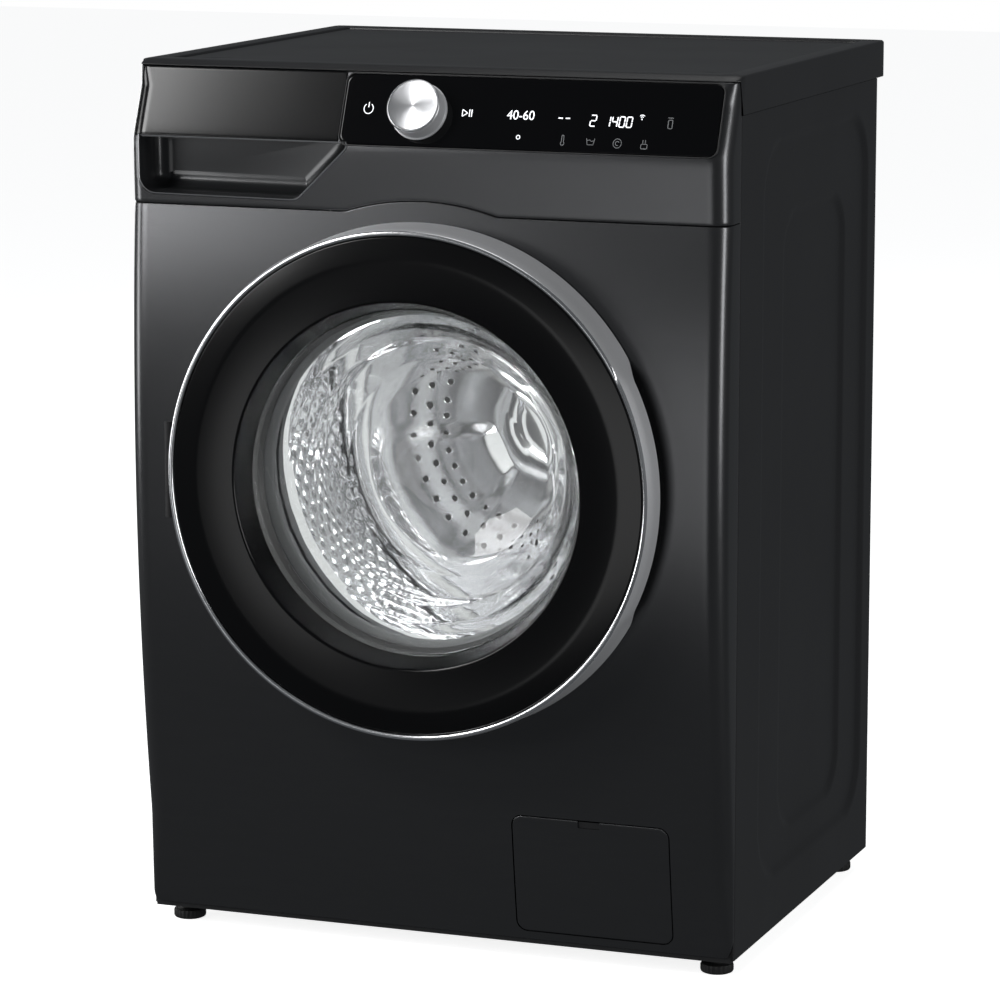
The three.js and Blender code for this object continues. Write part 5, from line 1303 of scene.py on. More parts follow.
    def build_dial(self) -> None:
        """The programme dial: a spun face, a bright chamfer, fine grip lines and a skirt."""
        top, r = -self.dial_height, self.dial_radius
        section = ((0.0, top + 1.0, 0), (r - 2.6, top + 0.45, 0.4), (r - 1.7, top, 0.4),
                   (r - 0.5, top + 1.1, 0.4), (r, top + 2.0, 0.4), (r + 0.3, -3.0, 0.6),
                   (r + 1.6, -2.2, 0.5), (r + 1.6, -0.8, 0.2), (0.0, -0.8, 0))
        profile = drawn(section, 4)
        skin = lathe(profile, self.dial_sides, (0, 0))
        x, depth, rise = skin.points.T
        skin.points = FORM.on_slope(self.dial_x + x, FORM.up_slope(self.dial_z) + rise, depth)
        row = np.arange(len(skin.marks)) // self.dial_sides
        skin.marks = (profile[row, 1] > top + self.dial_face).astype(int).tolist()
        add_piece("program_dial_skin", skin, "dial", [SPUN, SATIN_TRIM], ["program_dial"],
                  crease=24)


def level_fascia(piece: bpy.types.Object) -> None:
    """Keeps the fascia's flats flat: faces that a cut left with over four corners take their own normal.

    Args:
        piece: The fascia.
    """
    mesh = piece.data
    corners = gather(mesh.corner_normals, "vector")
    own = by_corner(mesh, gather(mesh.polygons, "normal"))
    odd = by_corner(mesh, gather(mesh.polygons, "loop_total", 1, np.int32) > 4)
    corners[odd] = own[odd]
    mesh.normals_split_custom_set(corners.tolist())


@dataclass
class DisplayMarks:
    """The lit figures and the dim signs on the display: thin raised strokes on its face."""

    fascia: Fascia
    stroke: float = 0.9
    middling: float = 0.8
    thin: float = 0.7
    fine: float = 0.6
    thick: float = 0.12
    pitch: float = 7.0
    base_z: float = 802.6
    power_at: tuple[float, float] = (-56.4, 811.5)
    play_at: tuple[float, float] = (37.4, 807.2)
    signal_at: tuple[float, float] = (212.5, 810.2)
    ring_at: tuple[float, float] = (95.3, 790.6)
    dash_x: tuple[float, float] = (132.0, 139.0)
    dash_z: float = 808.7
    bar_width: float = 1.05
    bar_gap: float = 0.07
    figure_lean: float = 0.08
    font_height: float = 0.72
    font_narrow: float = 0.92
    segments: ClassVar[dict[str, str]] = {"0": "abcdef", "1": "bc", "2": "abged", "4": "fgbc", "-": "g"}

    def lay(self, flat: Array) -> Array:
        """A line of (x, z) laid on the display's face, as (x, run up the slope)."""
        return np.column_stack([flat[:, 0], [FORM.up_slope(z) for z in flat[:, 1]]])

    def ribbon(self, line: Sequence[Sequence[float]], width: float | None = None,
               closed: bool = False) -> Skin:
        """A flat stroke along a line: two edges at half its width, raised by its thickness.

        Args:
            line: Points of (x, z) along its middle.
            width: Its width, or None for the common one.
            closed: Whether it comes back to its start.

        Returns:
            The closed skin.
        """
        flat = self.lay(np.array(line, float))
        if closed:
            flat = np.vstack([flat, flat[:1]])
        run = np.gradient(flat, axis=0)
        if closed:
            run[[0, -1]] = flat[1] - flat[-2]
        side = np.stack([-run[:, 1], run[:, 0]], -1) / np.linalg.norm(run, axis=1, keepdims=True)
        half = (width or self.stroke) / 2
        left, right = flat + side * half, flat - side * half
        depth = -self.fascia.proud
        rows = [FORM.on_slope(edge[:, 0], edge[:, 1], depth - lift)
                for edge, lift in ((left, 0.0), (left, self.thick), (right, self.thick), (right, 0.0))]
        return grid(np.stack(rows), loop_rows=True, caps=True)

    def arc(self, x: float, z: float, radius: float, start: float, end: float, steps: int = 20) -> Array:
        """Points of an arc about (x, z), by angles in degrees."""
        turn = np.radians(np.linspace(start, end, steps))
        return np.stack([x + radius * np.cos(turn), z + radius * np.sin(turn)], -1)

    def figure(self, sign: str, x: float, z: float, width: float, height: float) -> list[Skin]:
        """A seven-bar figure: each bar is a stroke between two of its six corners, less a small gap.

        Args:
            sign: The figure.
            x: Its left end.
            z: Its foot.
            width: Its width.
            height: Its height.

        Returns:
            A skin for each bar.
        """
        spot = {"tl": (0, 1), "tr": (1, 1), "ml": (0, 0.5), "mr": (1, 0.5), "bl": (0, 0), "br": (1, 0)}
        bars = {"a": ("tl", "tr"), "b": ("tr", "mr"), "c": ("mr", "br"), "d": ("bl", "br"),
                "e": ("ml", "bl"), "f": ("tl", "ml"), "g": ("ml", "mr")}
        made = []
        for bar in self.segments[sign]:
            ends = np.array([spot[name] for name in bars[bar]], float)
            start, end = ends + (ends[::-1] - ends) * self.bar_gap
            line = [(x + p[0] * width + p[1] * height * self.figure_lean, z + p[1] * height)
                    for p in (start, end)]
            made.append(self.ribbon(line, self.bar_width))
        return made

    def figures(self, text: str, x: float, width: float, height: float) -> list[Skin]:
        """A row of seven-bar figures, each one pitch further right."""
        return [bar for number, sign in enumerate(text)
                for bar in self.figure(sign, x + self.pitch * number, self.base_z, width, height)]

    def lit_signs(self) -> list[Skin]:
        """Power, play, two dashes, a small ring and a signal, with the figures between them."""
        power_x, power_z = self.power_at
        play_x, play_z = self.play_at
        signal_x, signal_z = self.signal_at
        tall, wide = 6.4, 5.2
        play = rounded_line([(play_x, play_z), (play_x, play_z + tall), (play_x + wide, play_z + tall / 2)],
                            [0.4] * 3, 3, True)
        made = [self.ribbon(self.arc(power_x, power_z, 4.6, 125, 415), self.middling),
                self.ribbon([(power_x, power_z + 1.0), (power_x, power_z + 5.8)], self.middling),
                self.ribbon(play, self.middling, True)]
        made += [self.ribbon([(play_x + bar, play_z), (play_x + bar, play_z + tall)]) for bar in (7.0, 9.2)]
        made += [self.ribbon([(x, self.dash_z), (x + 4.2, self.dash_z)], 1.1) for x in self.dash_x]
        made += self.figures("2", 163.0, 5.2, 9.6)
        made += self.figures("1400", 177.0, 4.9, 9.0)
        made += [self.ribbon(self.arc(signal_x, signal_z, radius, 50, 130, 10), self.thin)
                 for radius in (2.0, 3.6)]
        made.append(self.ribbon([(signal_x, signal_z - 0.7), (signal_x, signal_z + 0.5)], 1.0))
        made.append(self.ribbon(self.arc(*self.ring_at, 1.7, 0, 345, 16), self.thin, True))
        made.append(self.numbers("40-60", 95.0, 806.2, 9.2))
        return made

    def hoop(self, x: float, z: float, half: float, low: float, high: float, corner: float) -> Array:
        """A closed loop of four round corners about a place, from low under it to high over it."""
        left, right = x - half, x + half
        return rounded_line([(left, z - low), (left, z + high), (right, z + high), (right, z - low)],
                            [corner] * 4, 3, True)

    def dim_signs(self) -> list[Skin]:
        """A thermometer, a basin of water, a spiral, a dryer and a bottle, each drawn about its place."""
        made = []
        x, z = 138.8, 789.8
        stem = rounded_line([(x - 1, z - 1.8), (x - 1, z + 4), (x + 1, z + 4), (x + 1, z - 1.8)],
                            [0, 0.9, 0.9, 0], 4)
        made.append(self.ribbon(stem, self.fine))
        made.append(self.ribbon(self.arc(x, z - 3.2, 1.7, 50, -230, 16), self.fine))
        x, z = 165.9, 789.1
        basin = [(x - 4, z + 2.6), (x - 2.8, z - 3), (x + 2.8, z - 3), (x + 4, z + 2.6)]
        water = [(x - 3.4, z + 0.6), (x - 1, z + 1.3), (x + 1, z + 0.1), (x + 3.4, z + 0.8)]
        made += [self.ribbon(basin, self.fine), self.ribbon(water, 0.5)]
        x, z = 191.9, 788.2
        made.append(self.ribbon(self.arc(x, z, 4.0, 0, 345, 24), self.fine, True))
        made.append(self.ribbon(self.arc(x, z, 1.8, 30, 300, 14), self.fine))
        x, z = 217.7, 787.8
        made.append(self.ribbon(self.hoop(x, z, 3, 3.5, 0.5, 0.8), self.fine, True))
        made += [self.ribbon([(x + side, z + 1.2), (x + side, z + 4.2)], self.fine) for side in (-1.4, 1.0)]
        x, z = 240.1, 807.2
        made.append(self.ribbon(self.hoop(x, z, 2, 4.5, 3, 0.9), self.thin, True))
        made.append(self.ribbon([(x - 2.6, z + 4.8), (x + 2.6, z + 4.8)], self.thin))
        return made

    def build(self) -> None:
        """Builds the lit marks as one piece and the dim ones as another."""
        add_piece("display_marks_lit", join(*self.lit_signs()), "cabinet", [LIT_MARK])
        add_piece("display_marks_dim", join(*self.dim_signs()), "cabinet", [DIM_MARK])

    def numbers(self, words: str, x: float, z: float, height: float) -> Skin:
        """Numbers of a programme, from the plain built-in font, laid on the display.

        Args:
            words: The numbers.
            x: Their middle.
            z: Their foot.
            height: Height of a number.

        Returns:
            The closed skin.
        """
        curve = bpy.data.curves.new("numbers", "FONT")
        curve.body, curve.align_x, curve.size, curve.extrude = words, "CENTER", 1.0, 0.01
        holder = bpy.data.objects.new("numbers", curve)
        bpy.context.scene.collection.objects.link(holder)
        graph = bpy.context.evaluated_depsgraph_get()
        mesh = bpy.data.meshes.new_from_object(holder.evaluated_get(graph))
        bpy.data.objects.remove(holder)
        places = gather(mesh.vertices, "co").astype(float)
        scale = height / self.font_height
        lift = np.where(places[:, 2] > 0, self.thick, 0)
        along = FORM.up_slope(z) + places[:, 1] * scale
        across = x + places[:, 0] * scale * self.font_narrow
        points = FORM.on_slope(across, along, -self.fascia.proud - lift)
        faces = [list(face.vertices) for face in mesh.polygons]
        return Skin(points, faces, [0] * len(faces))


# ------------------------------------------------------------------------------------------ door


@dataclass
class Door:
    """The round door: satin rim, gloss window ring, glass bowl and inner frame."""

    rim: float = 240.0
    bead_y: float = -40.0
    flare: float = 3.0
    grip_top: float = math.radians(32)
    grip_bottom: float = math.radians(-31)
    grip_soft: float = math.radians(6)
    grip_y: float = -13.0
    grip_chamfer: float = 3.2
    bead_rows: int = 6
    clearance: float = 2.0
    hinge_x: float = -246.0
    hinge_half: float = 50.0
    sides: int = 720
    window_section: Corners = ((234.4, -37.5, 0.4), (233.2, -38.4, 1.5), (212, -39.6, 60), (173, -37.4, 3.2),
                               (164.6, -14.5, 1.5), (164.6, -11, 0.8), (168, -11, 1), (175.5, -33, 3),
                               (212, -36.4, 20), (234.4, -35, 0.5))
    glass_section: Corners = ((0, 111.5, 0), (60, 109.5, 90), (100, 98.5, 30), (125, 60, 60), (143, 20, 90),
                              (161.5, -7.0, 4), (163, -9.5, 1.5), (176.6, -9.5, 1), (176.6, -5.2, 1),
                              (166.2, -4.2, 5), (149.4, 22, 90), (132.4, 62, 70), (104.4, 102.5, 32),
                              (61, 114.8, 90), (0, 116.8, 0))
    frame_section: Corners = ((180, -7, 0), (233, -7, 1), (233, -3, 1), (191, -3, 2), (189, 8, 1.5),
                              (165, 8, 1.5), (161, 5, 1), (169, -3, 1), (180, -3.6, 0))

    def build(self) -> None:
        """Builds every piece of the door."""
        self.build_rim()
        self.build_window_ring()
        self.build_glass()
        self.build_inner_frame()

    def build_rim(self) -> None:
        """The rim: its section morphs on the way round, as its rear edge follows the bowed panel.

        On the grip side the wall is cut short for fingertips, and its front turns into a wide chamfer.
        """
        sides = self.sides
        turn = np.arange(sides) * TURN / sides
        angle = np.where(turn > math.pi, turn - TURN, turn)
        grip = smoothstep((self.grip_top - angle) / self.grip_soft) * smoothstep(
            (angle - self.grip_bottom) / self.grip_soft)
        z = FORM.door_z + (self.rim + self.flare) * np.sin(turn)
        rear = FORM.panel_y(z) - self.clearance
        rear = rear + (self.grip_y - rear) * grip
        front, r, wide = self.bead_y, self.rim, self.rim + self.flare
        mid = rear * 0.35 + (front + 4) * 0.65
        shift = self.grip_chamfer * grip
        section = [
            (r - 5.2, front + 3.2), (r - 5.2, front + 1.6), (r - 4.3, front + 0.4), (r - 3.2, front),
            (r - 2.1 - shift * 0.3, front + 0.1), (r - 1.0 - shift * 0.6, front + 0.6 + 0.3 * grip),
            (r - 0.3 - shift * 0.3, front + 1.5 + 1.5 * grip), (r + 0.3 + 0.6 * grip, front + 4.0 + 5 * grip),
            (r + self.flare * 0.4 + 1.4 * grip, mid), (wide - 0.35, rear - 1.4), (wide, rear - 0.6),
            (wide - 0.6, rear), (wide - 3.0, rear), (wide - 3.5, rear - 0.8), (r - 2.6, front + 8),
        ]
        profile = np.stack([np.stack(np.broadcast_arrays(*pair, turn)[:2], -1) for pair in section])
        skin = lathe(profile, sides, (0, FORM.door_z))
        row = np.arange(len(skin.marks)) // sides
        skin.marks = np.where(row < self.bead_rows, 0, 1).tolist()
        notch = block((-262, -228), (-28, 60), grow((FORM.door_z, FORM.door_z), self.hinge_half))
        add_piece("door_rim", skin, "door", [BRIGHT_BEAD, SATIN_TRIM], ["door_trim_ring"],
                  [notch], crease=40)

    def build_window_ring(self) -> None:
        """The gloss ring: a flat band, a soft crease, and a cone down to the glass."""
        line = drawn(self.window_section, 8, True)
        add_piece("door_window_ring_skin", lathe(line, 360, (0, FORM.door_z)), "door",
                  [GLOSS_BLACK], ["door_window_ring"], crease=50)

    def build_glass(self) -> None:
        """The glass bowl: a thick rim, a steep wall and a shallow domed floor, as one turned body."""
        line = drawn(self.glass_section, 10)
        add_piece("door_glass_skin", lathe(line, 300, (0, FORM.door_z)), "door",
                  [glass_material("clear_glass", 0.004)], ["door_glass"], crease=60)

    def build_inner_frame(self) -> None:
        """The black frame behind the window ring, cut away for the grip and the hinge."""
        line = drawn(self.frame_section, 4, True)
        grip = block((221, 400), (-20, 20), (FORM.door_z - 112, FORM.door_z + 128))
        hinge = block((-400, self.hinge_x + 20), (-20, 20), grow((FORM.door_z, FORM.door_z), self.hinge_half))
        add_piece("door_inner_frame_skin", lathe(line, 180, (0, FORM.door_z)), "door",
                  [BLACK_PLASTIC], ["door_inner_frame"], [grip, hinge])


# ------------------------------------------------------------------------------------------ drum and tub


@dataclass
class Drum:
    """The steel drum with its pillows, stamped back, drain holes and lifters."""

    radius: float = 238.4
    sheet: float = 1.4
    wall_y: tuple[float, float] = (132.0, 368.0)
    wall_sides: int = 420
    wall_rows: int = 84
    lip_section: Corners = ((176, 108.5, 0), (172.6, 109, 1), (176, 107.4, 1), (225, 113.2, 12),
                            (237.0, 124, 16))
    front: float = 112.0
    rear: float = 378.0
    pillows: int = 60
    pillow_rise: float = 2.4
    pitch: float = 25.0
    fade: float = 10.0
    hole: float = 2.6
    back_hole: float = 3.4
    hole_sides: int = 10
    back_sides: int = 300
    back_y: float = 376.2
    arm_depth: float = 7.5
    wave_depth: float = 0.8
    wave_run: float = 9.0
    hole_rings: tuple[tuple[float, int, float], ...] = ((118.0, 42, 0.0), (136.0, 42, 0.5), (154.0, 42, 0.0))
    lifters: int = 3
    lifter_root: float = 236.4
    lifter_half: float = 28.0
    lifter_length: float = 226.0
    lifter_height: float = 46.0

    def build(self) -> None:
        """Builds the drum's pieces."""
        self.build_wall()
        self.build_back()
        self.build_lifters()

    def place(self, radius: Array, turn: Array, y: Array) -> Array:
        """Points from radius, turn and depth about the drum's axis."""
        x, z = radius * np.cos(turn), FORM.door_z + radius * np.sin(turn)
        return np.stack(np.broadcast_arrays(x, y, z), -1)

    def build_wall(self) -> None:
        """The wall: pillows rise inwards by the product of two slanting sines, over the straight run."""
        turn = np.arange(self.wall_sides) * TURN / self.wall_sides
        low, high = self.wall_y
        lip = drawn((*self.lip_section, (self.radius, low, 0)), 6)
        straight = np.linspace(low, high, self.wall_rows)[1:]
        y = np.concatenate([lip[:, 1], straight, [372.0, 375.5]])
        r = np.concatenate([lip[:, 0], np.full(len(straight), self.radius), [236.6, 232.0]])
        a = turn * self.pillows / TURN + y[:, None] / self.pitch
        b = turn * self.pillows / TURN - y[:, None] / self.pitch
        rise = self.pillow_rise * np.abs(np.sin(math.pi * a) * np.sin(math.pi * b)) ** 0.8
        rise *= smoothstep((y - low) / self.fade)[:, None] * smoothstep((high - 2 - y) / self.fade)[:, None]
        inner = self.place(r[:, None] - rise, turn, y[:, None])
        back = y + np.where(y < low - 2, -1.2, 0)
        outer = self.place((r + self.sheet)[:, None] * np.ones_like(turn), turn, back[:, None])
        wall = grid(np.concatenate([inner, outer[::-1]]), loop_rows=True, loop_columns=True)
        add_piece("drum_wall", wall, "drum", [STAINLESS], ["drum"], crease=50)
        cup = self.hole_cup(self.hole)
        rows_y = np.arange(144, 362, self.pitch)
        spin, depth = np.meshgrid(np.arange(self.pillows) * TURN / self.pillows, rows_y)
        centres = self.place(np.full(spin.size, self.radius - 0.1), spin.ravel(), depth.ravel())
        normals = np.column_stack([-np.cos(spin.ravel()), np.zeros(spin.size), -np.sin(spin.ravel())])
        # Each hole's dark disc is painted shade.
        add_piece("drum_wall_holes", scatter(cup, centres, normals), "drum",
                  [STAINLESS, PAINTED_HOLE_SHADE])

    def hole_cup(self, r: float) -> Skin:
        """A drain hole: a pressed collar round a dark disc, which paints the shade inside the hole.

        Args:
            r: Radius of the hole.

        Returns:
            The closed skin, about its own origin, with the disc in the second finish.
        """
        edge, crown, mouth = (circle_points(r + wider, y, self.hole_sides)
                              for wider, y in ((1.3, 0.4), (0.4, -0.55), (0, -0.3)))
        round_it = list(range(self.hole_sides))
        return join(grid(np.stack([edge, crown, mouth]), loop_columns=True), Skin(mouth, [round_it], [1]),
                    Skin(edge, [round_it[::-1]], [0]))

    def arm_share(self, turn: Array) -> Array:
        """How far the three arms rise at each turn: a smoothstep of a cosine with three crests."""
        return smoothstep((np.cos(3 * (turn - QUARTER)) - 0.1) / 0.6)

    def build_back(self) -> None:
        """The back: three broad stamped arms and two rings, as heights over a disc, and its holes."""
        turn = np.arange(self.back_sides) * TURN / self.back_sides
        r = np.concatenate([np.linspace(0, 222, 74), [226.0, 230.0, 232.0]])[:, None]
        arm = self.arm_share(turn) * smoothstep((r - 52) / 26)
        arm = arm * smoothstep((214 - r) / 24)
        ring = smoothstep((r - 34) / 8) * smoothstep((62 - r) / 10)
        wave = self.wave_depth * np.sin(r / self.wave_run)
        wave = wave * smoothstep((r - 80) / 30) * smoothstep((205 - r) / 20)
        y = self.back_y - self.arm_depth * arm - 4.0 * ring - wave - 5.0 * smoothstep((r - 214) / 18)
        y = np.where(r > 231, 375.5, y)
        face = self.place(r, turn, y)
        back = self.place(r, turn, np.full_like(y, self.back_y + self.sheet))
        disc = grid(np.concatenate([face, back[::-1]]), loop_rows=True, loop_columns=True)
        add_piece("drum_back", disc, "drum", [STAINLESS], ["drum"], crease=50)
        spots = [(radius, (i + offset) * TURN / count)
                 for radius, count, offset in self.hole_rings for i in range(count)]
        radius, spin = (np.array(values) for values in zip(*spots))
        depth = (self.back_y - self.arm_depth * self.arm_share(spin)
                 - self.wave_depth * np.sin(radius / self.wave_run) - 0.25)
        centres = self.place(radius, spin, depth)
        holes = scatter(self.hole_cup(self.back_hole), centres, np.tile((0, -1.0, 0), (len(centres), 1)))
        # Each hole's dark disc is painted shade.
        add_piece("drum_back_holes", holes, "drum", [STAINLESS, PAINTED_HOLE_SHADE])

    def build_lifters(self) -> None:
        """Three lifters: each a ridge whose section is a rounded hump that fades at both ends."""
        middle = (self.front + self.rear) / 2 + 2
        along = np.linspace(-1, 1, 60)
        across = np.linspace(-1, 1, 41)
        u, v = np.meshgrid(across, along)
        fade = smoothstep((1 - np.abs(v)) / 0.2) * 0.5 + 0.5
        half = self.lifter_half * (0.8 + 0.2 * smoothstep((1 - np.abs(v)) / 0.15))
        hump = (np.cos(u * QUARTER) ** 0.75) * (1 + 0.05 * np.cos(u * 4 * math.pi))
        height = 4 + (self.lifter_height - 6) * hump * fade
        root = self.lifter_root
        x, y = u * half * (1 - 0.25 * hump), middle + v * self.lifter_length / 2
        top = np.stack([x, y, -(root - height)], -1)
        base = np.stack([u * half * 0.9, y, np.full_like(x, -(root - 3.5))], -1)
        rib = sheet(top, base)
        for number in range(self.lifters):
            spin = number * TURN / self.lifters
            turned = rib.points @ np.array([[math.cos(spin), 0, -math.sin(spin)], [0, 1, 0],
                                            [math.sin(spin), 0, math.cos(spin)]])
            name = f"lifter_{number + 1}"
            add_piece(f"{name}_skin", Skin(turned + (0, 0, FORM.door_z), rib.faces, rib.marks), "drum",
                      [STAINLESS], [name])


@dataclass
class Suspension:
    """The soft and springy pieces between the cabinet and the tub."""

    seal_line: Corners = ((199, 3, 0), (199.5, 12, 4), (190, 15, 3), (166, 18, 3), (158, 20.5, 2),
                          (159, 25, 2), (172, 28, 2), (168, 33, 2), (182, 37, 4), (192, 44, 4),
                          (190, 52, 3), (196.2, 60, 3), (196.2, 86, 0))
    seal_half: float = 1.2
    spring_x: float = 240.0
    spring_y: float = 345.0
    spring_radius: float = 11.0
    spring_wire: float = 2.0
    spring_turns: int = 6
    spring_z: tuple[float, float] = (676.0, 780.0)
    bellows_at: tuple[float, float] = (-150.0, 200.0)
    bellows_z: tuple[float, float] = (700.4, 768.6)
    bellows_folds: int = 4
    sump_radius: float = 14.0
    sump_route: Triples = ((60, 150, 191.7), (60, 150, 162), (64, 138, 126), (82, 112, 92), (101, 108, 88),
                           (114.7, 108, 88))

    def build(self) -> None:
        """Builds the door seal, the springs and the hoses."""
        middle = drawn(self.seal_line)
        run = np.gradient(middle, axis=0)
        out = np.stack([-run[:, 1], run[:, 0]], -1) / np.linalg.norm(run, axis=1, keepdims=True)
        profile = np.vstack([middle + out * self.seal_half, (middle - out * self.seal_half)[::-1]])
        add_piece("door_seal_skin", lathe(profile, 240, (0, FORM.door_z)),
                  Bend("cabinet", "tub", (0, 22, 466), (0, 58, 466)), [GREY_RUBBER],
                  ["door_seal"], crease=60)
        low, high = self.spring_z
        turn = np.linspace(0, self.spring_turns * TURN, self.spring_turns * 28)
        for name, side in (("spring_left", -1), ("spring_right", 1)):
            middle_x = side * self.spring_x
            path = np.column_stack([middle_x + self.spring_radius * np.cos(turn),
                                    self.spring_y + self.spring_radius * np.sin(turn),
                                    low + (high - low) * (turn / turn[-1])])
            add_piece(f"{name}_coil", tube(path, self.spring_wire, 10), self.hang(middle_x, high, low),
                      [GALVANISED], [name])
        low, high = self.bellows_z
        z = np.linspace(low, high, 61)
        wave = 22.0 + 2.4 * np.cos((z - low) / (high - low) * TURN * self.bellows_folds + math.pi)
        bellows = np.column_stack([np.append(wave, wave[::-1] - 1.8), np.append(z, z[::-1])])
        hung = self.hang(self.bellows_at[0], high, low)
        add_piece("dispenser_bellows", lathe(bellows, 48, self.bellows_at, upright=True), hung,
                  [BLACK_RUBBER], ["dispenser_hose"])
        sump = smooth_path(self.sump_route, 60)
        add_piece("sump_hose_skin", tube(sump, self.sump_radius, 28), self.hang(64, 96, 188),
                  [BLACK_RUBBER], ["sump_hose"])

    def hang(self, x: float, fixed: float, moving: float) -> Bend:
        """A bend from the height that the cabinet holds to the height that the tub carries."""
        return Bend("cabinet", "tub", (x, 0, fixed), (x, 0, moving))


@dataclass
class Feet:
    """Four levelling feet: a ribbed pad, a waist and a threaded stem.

    A row of the pad holds its radius, its height, and how deep its ribs are there.
    """

    x: float = 274.0
    ys: tuple[float, float] = (72.0, 468.0)
    sides: int = 96
    ribs: int = 24
    rib_depth: float = 0.9
    pad_rows: Triples = ((0, 0, 0), (13.4, 0, 0), (15.2, 0.8, 0.3), (15.9, 2.2, 1), (15.9, 7.4, 1),
                         (15.2, 8.6, 0.4), (13.6, 9.0, 0), (9.0, 9.0, 0), (8.0, 9.6, 0), (8.0, 14.4, 0),
                         (5.0, 14.5, 0))
    stem_z: tuple[float, float] = (14.6, 47.8)
    stem_rows: int = 134
    stem_radius: float = 4.55
    thread_rise: float = 0.9
    thread_pitch: float = 1.6

    def build(self) -> None:
        """Builds the four feet."""
        sides = self.sides
        turn = np.arange(sides) * TURN / sides
        ribs = self.rib_depth / 2 * (np.cos(self.ribs * turn) - 1)
        pad = np.array(self.pad_rows)
        levels = np.linspace(*self.stem_z, self.stem_rows)
        phase = (levels[:, None] / self.thread_pitch - turn / TURN) % 1
        stem = self.stem_radius + self.thread_rise * np.abs(phase - 0.5)
        radius = np.vstack([pad[:, :1] + ribs * pad[:, 2:], stem, np.zeros((1, sides))])
        height = np.concatenate([pad[:, 1], levels, levels[-1:]])
        profile = np.stack([radius, np.repeat(height[:, None], sides, axis=1)], -1)
        marks = np.where(np.arange(len(height)) < len(pad) - 1, 0, 1)
        for end, y in zip(("front", "rear"), self.ys):
            for name, side in (("left", -1), ("right", 1)):
                skin = lathe(profile, sides, (side * self.x, y), upright=True)
                skin.marks = np.repeat(marks, sides)[:len(skin.faces)].tolist()
                add_piece(f"foot_{end}_{name}_skin", skin, f"foot_{end[0]}{name[0]}",
                          [BLACK_RUBBER, SCREW_STEEL], [f"foot_{end}_{name}"])


# ------------------------------------------------------------------------------------------ stage


@dataclass(frozen=True)
class Lamp:
    """A soft box: where it stands, what it faces, how wide and tall it is, and how bright its face is."""

    name: str
    place: tuple[float, float, float]
    target: tuple[float, float, float]
    size: tuple[float, float]
    radiance: float


LAMPS = (
    Lamp("left_wall", (-1.58, -2.1, 1.0), (0.0, -0.24, 0.72), (0.95, 0.8), 7.0),
    Lamp("left_strip", (-3.2, -1.0, 1.0), (0.0, 0.0, 0.5), (0.9, 2.0), 7.0),
    Lamp("high_left", (-1.8, -1.95, 2.4), (-0.2, -0.2, 0.8), (0.8, 0.8), 16.0),
    Lamp("front_low", (-0.6, -4.4, -0.2), (0.0, -0.2, 0.3), (1.6, 1.0), 1.5),
    Lamp("right_strip", (3.2, -0.9, 1.0), (0.0, -0.2, 0.5), (0.7, 2.0), 8.0),
    Lamp("top_box", (0.2, 0.6, 3.4), (0.0, 0.0, 0.8), (2.0, 2.0), 1.4),
    Lamp("rear_box", (-3.2, 3.0, 0.9), (0.0, 0.3, 0.5), (1.6, 1.2), 4.0),
    Lamp("drum_lamp", (-0.03, -0.1, 0.6), (0.03, 0.13, 0.4), (0.14, 0.05), 40.0),
)


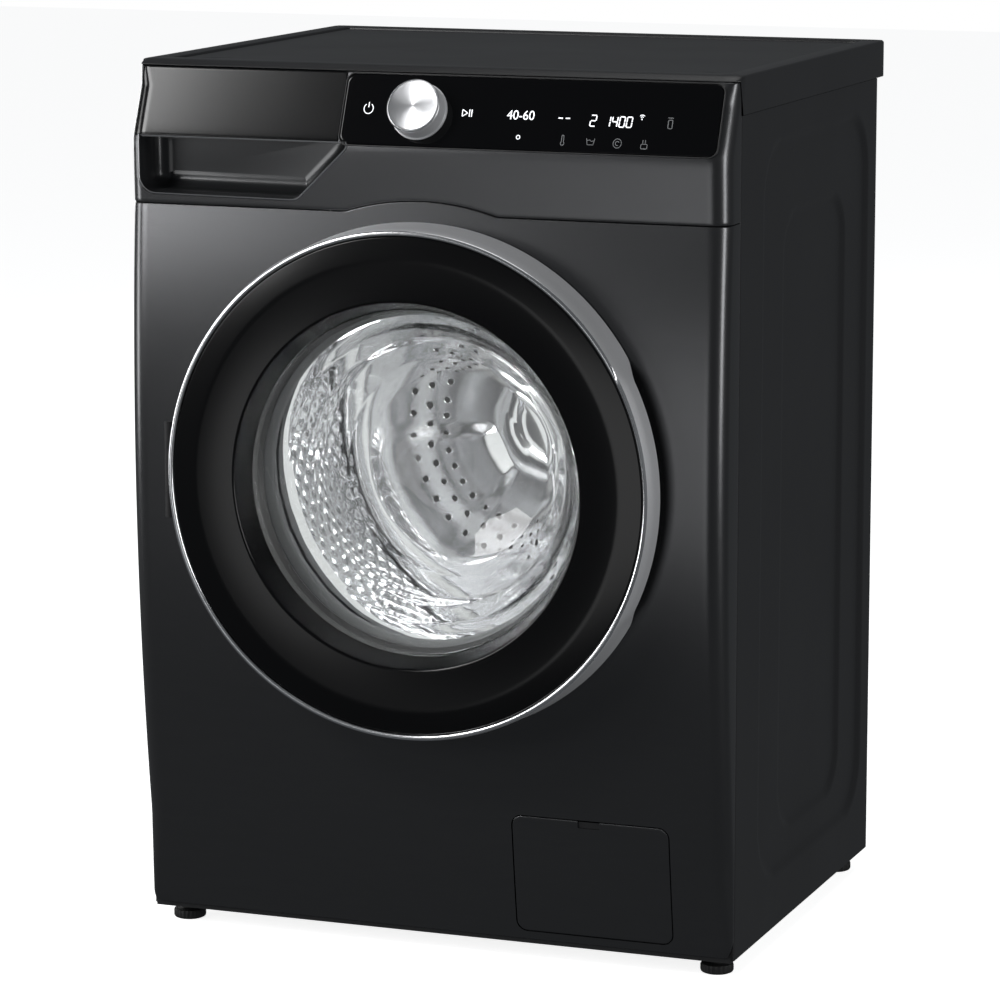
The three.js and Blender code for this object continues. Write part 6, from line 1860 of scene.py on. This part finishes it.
@dataclass
class Studio:
    """Floor, lights and camera."""

    eye: tuple[float, float, float] = (1.4883, -3.9653, 1.1726)
    yaw: float = math.radians(20.637)
    pitch: float = math.radians(10.017)
    lens: float = 156.635
    shift: tuple[float, float] = (-0.0044, -0.017)

    def build(self) -> None:
        """Builds the floor, the lights, the surrounding light and the camera."""
        self.build_floor()
        self.build_world()
        for lamp in LAMPS:
            self.add_light(lamp)
        data = bpy.data.cameras.new("viewer")
        data.lens = self.lens
        data.shift_x, data.shift_y = self.shift
        camera = bpy.data.objects.new("viewer", data)
        camera.location = self.eye
        camera.rotation_euler = (QUARTER - self.pitch, 0, self.yaw)
        bpy.context.scene.collection.objects.link(camera)
        bpy.context.scene.camera = camera
        bpy.context.scene.view_settings.view_transform = "Standard"

    def build_floor(self) -> None:
        """A plain pale floor under the feet, which shiny parts don't mirror."""
        mesh = bpy.data.meshes.new("floor")
        reach = 12.0
        mesh.from_pydata([(-reach, -reach, 0), (reach, -reach, 0), (reach, reach, 0), (-reach, reach, 0)], [],
                         [(0, 1, 2, 3)])
        floor = bpy.data.objects.new("floor", mesh)
        bpy.context.scene.collection.objects.link(floor)
        material = bpy.data.materials.new("pale_floor")
        material.use_nodes = True
        shader = material.node_tree.nodes["Principled BSDF"]
        shader.inputs["Base Color"].default_value = (0.86, 0.86, 0.86, 1)
        shader.inputs["Roughness"].default_value = 0.9
        shader.inputs["Emission Color"].default_value = (1, 1, 1, 1)
        shader.inputs["Emission Strength"].default_value = 0.86
        mesh.materials.append(material)
        floor.visible_glossy = False
        floor.visible_diffuse = False
        floor.visible_transmission = False

    def build_world(self) -> None:
        """White surroundings for the eye, straight or through the glass, and dim ones for the machine."""
        world = bpy.data.worlds.new("studio")
        bpy.context.scene.world = world
        world.use_nodes = True
        tree = world.node_tree
        dim = tree.nodes["Background"]
        dim.inputs["Color"].default_value = (0.9, 0.95, 1.0, 1)
        dim.inputs["Strength"].default_value = 0.11
        white = tree.nodes.new("ShaderNodeBackground")
        white.inputs["Color"].default_value = (1, 1, 1, 1)
        path = tree.nodes.new("ShaderNodeLightPath")
        seen = tree.nodes.new("ShaderNodeMath")
        seen.operation = "MAXIMUM"
        mix = tree.nodes.new("ShaderNodeMixShader")
        tree.links.new(path.outputs["Is Camera Ray"], seen.inputs[0])
        tree.links.new(path.outputs["Is Transmission Ray"], seen.inputs[1])
        tree.links.new(seen.outputs["Value"], mix.inputs["Fac"])
        tree.links.new(dim.outputs["Background"], mix.inputs[1])
        tree.links.new(white.outputs["Background"], mix.inputs[2])
        tree.links.new(mix.outputs["Shader"], tree.nodes["World Output"].inputs["Surface"])

    def add_light(self, lamp: Lamp) -> None:
        """Adds one soft box that faces its target.

        Args:
            lamp: Its place, target, size and brightness.
        """
        data = bpy.data.lights.new(lamp.name, "AREA")
        data.shape = "RECTANGLE"
        data.size, data.size_y = lamp.size
        data.energy = lamp.radiance * math.pi * lamp.size[0] * lamp.size[1]
        light = bpy.data.objects.new(lamp.name, data)
        light.location = lamp.place
        aim = np.array(lamp.place, float) - np.array(lamp.target, float)
        flat = math.hypot(aim[0], aim[1])
        light.rotation_euler = (math.atan2(flat, aim[2]), 0, math.atan2(aim[0], -aim[1]) if flat else 0)
        light.visible_camera = False
        light.visible_transmission = False
        bpy.context.scene.collection.objects.link(light)


def dress_packed_nodes() -> None:
    """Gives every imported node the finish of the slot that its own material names.

    The hinge's arm and bracket are the exception: they take the blackened cast finish.
    """
    packed = {name: node.data.materials[0] for name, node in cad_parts.items()}
    wanted = {name: SLOT_FINISHES.get(material.name) for name, material in packed.items()}
    wanted.update(dict.fromkeys(("hinge_arm", "hinge_bracket"), BLACK_CAST))
    for material in set(packed.values()):
        material.name = f"packed_{material.name}"
    for name, finish in wanted.items():
        if finish:
            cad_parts[name].data.materials[0] = finish.build()


def main() -> None:
    """Builds the machine, sub-assembly by sub-assembly, and the studio round it."""
    logging.basicConfig(level=logging.INFO, format="%(message)s")
    dress_packed_nodes()
    for part in (Cabinet(), Fascia(), Door(), Drum(), Suspension(), Feet(), Studio()):
        part.build()


if __name__ == "__main__":
    main()
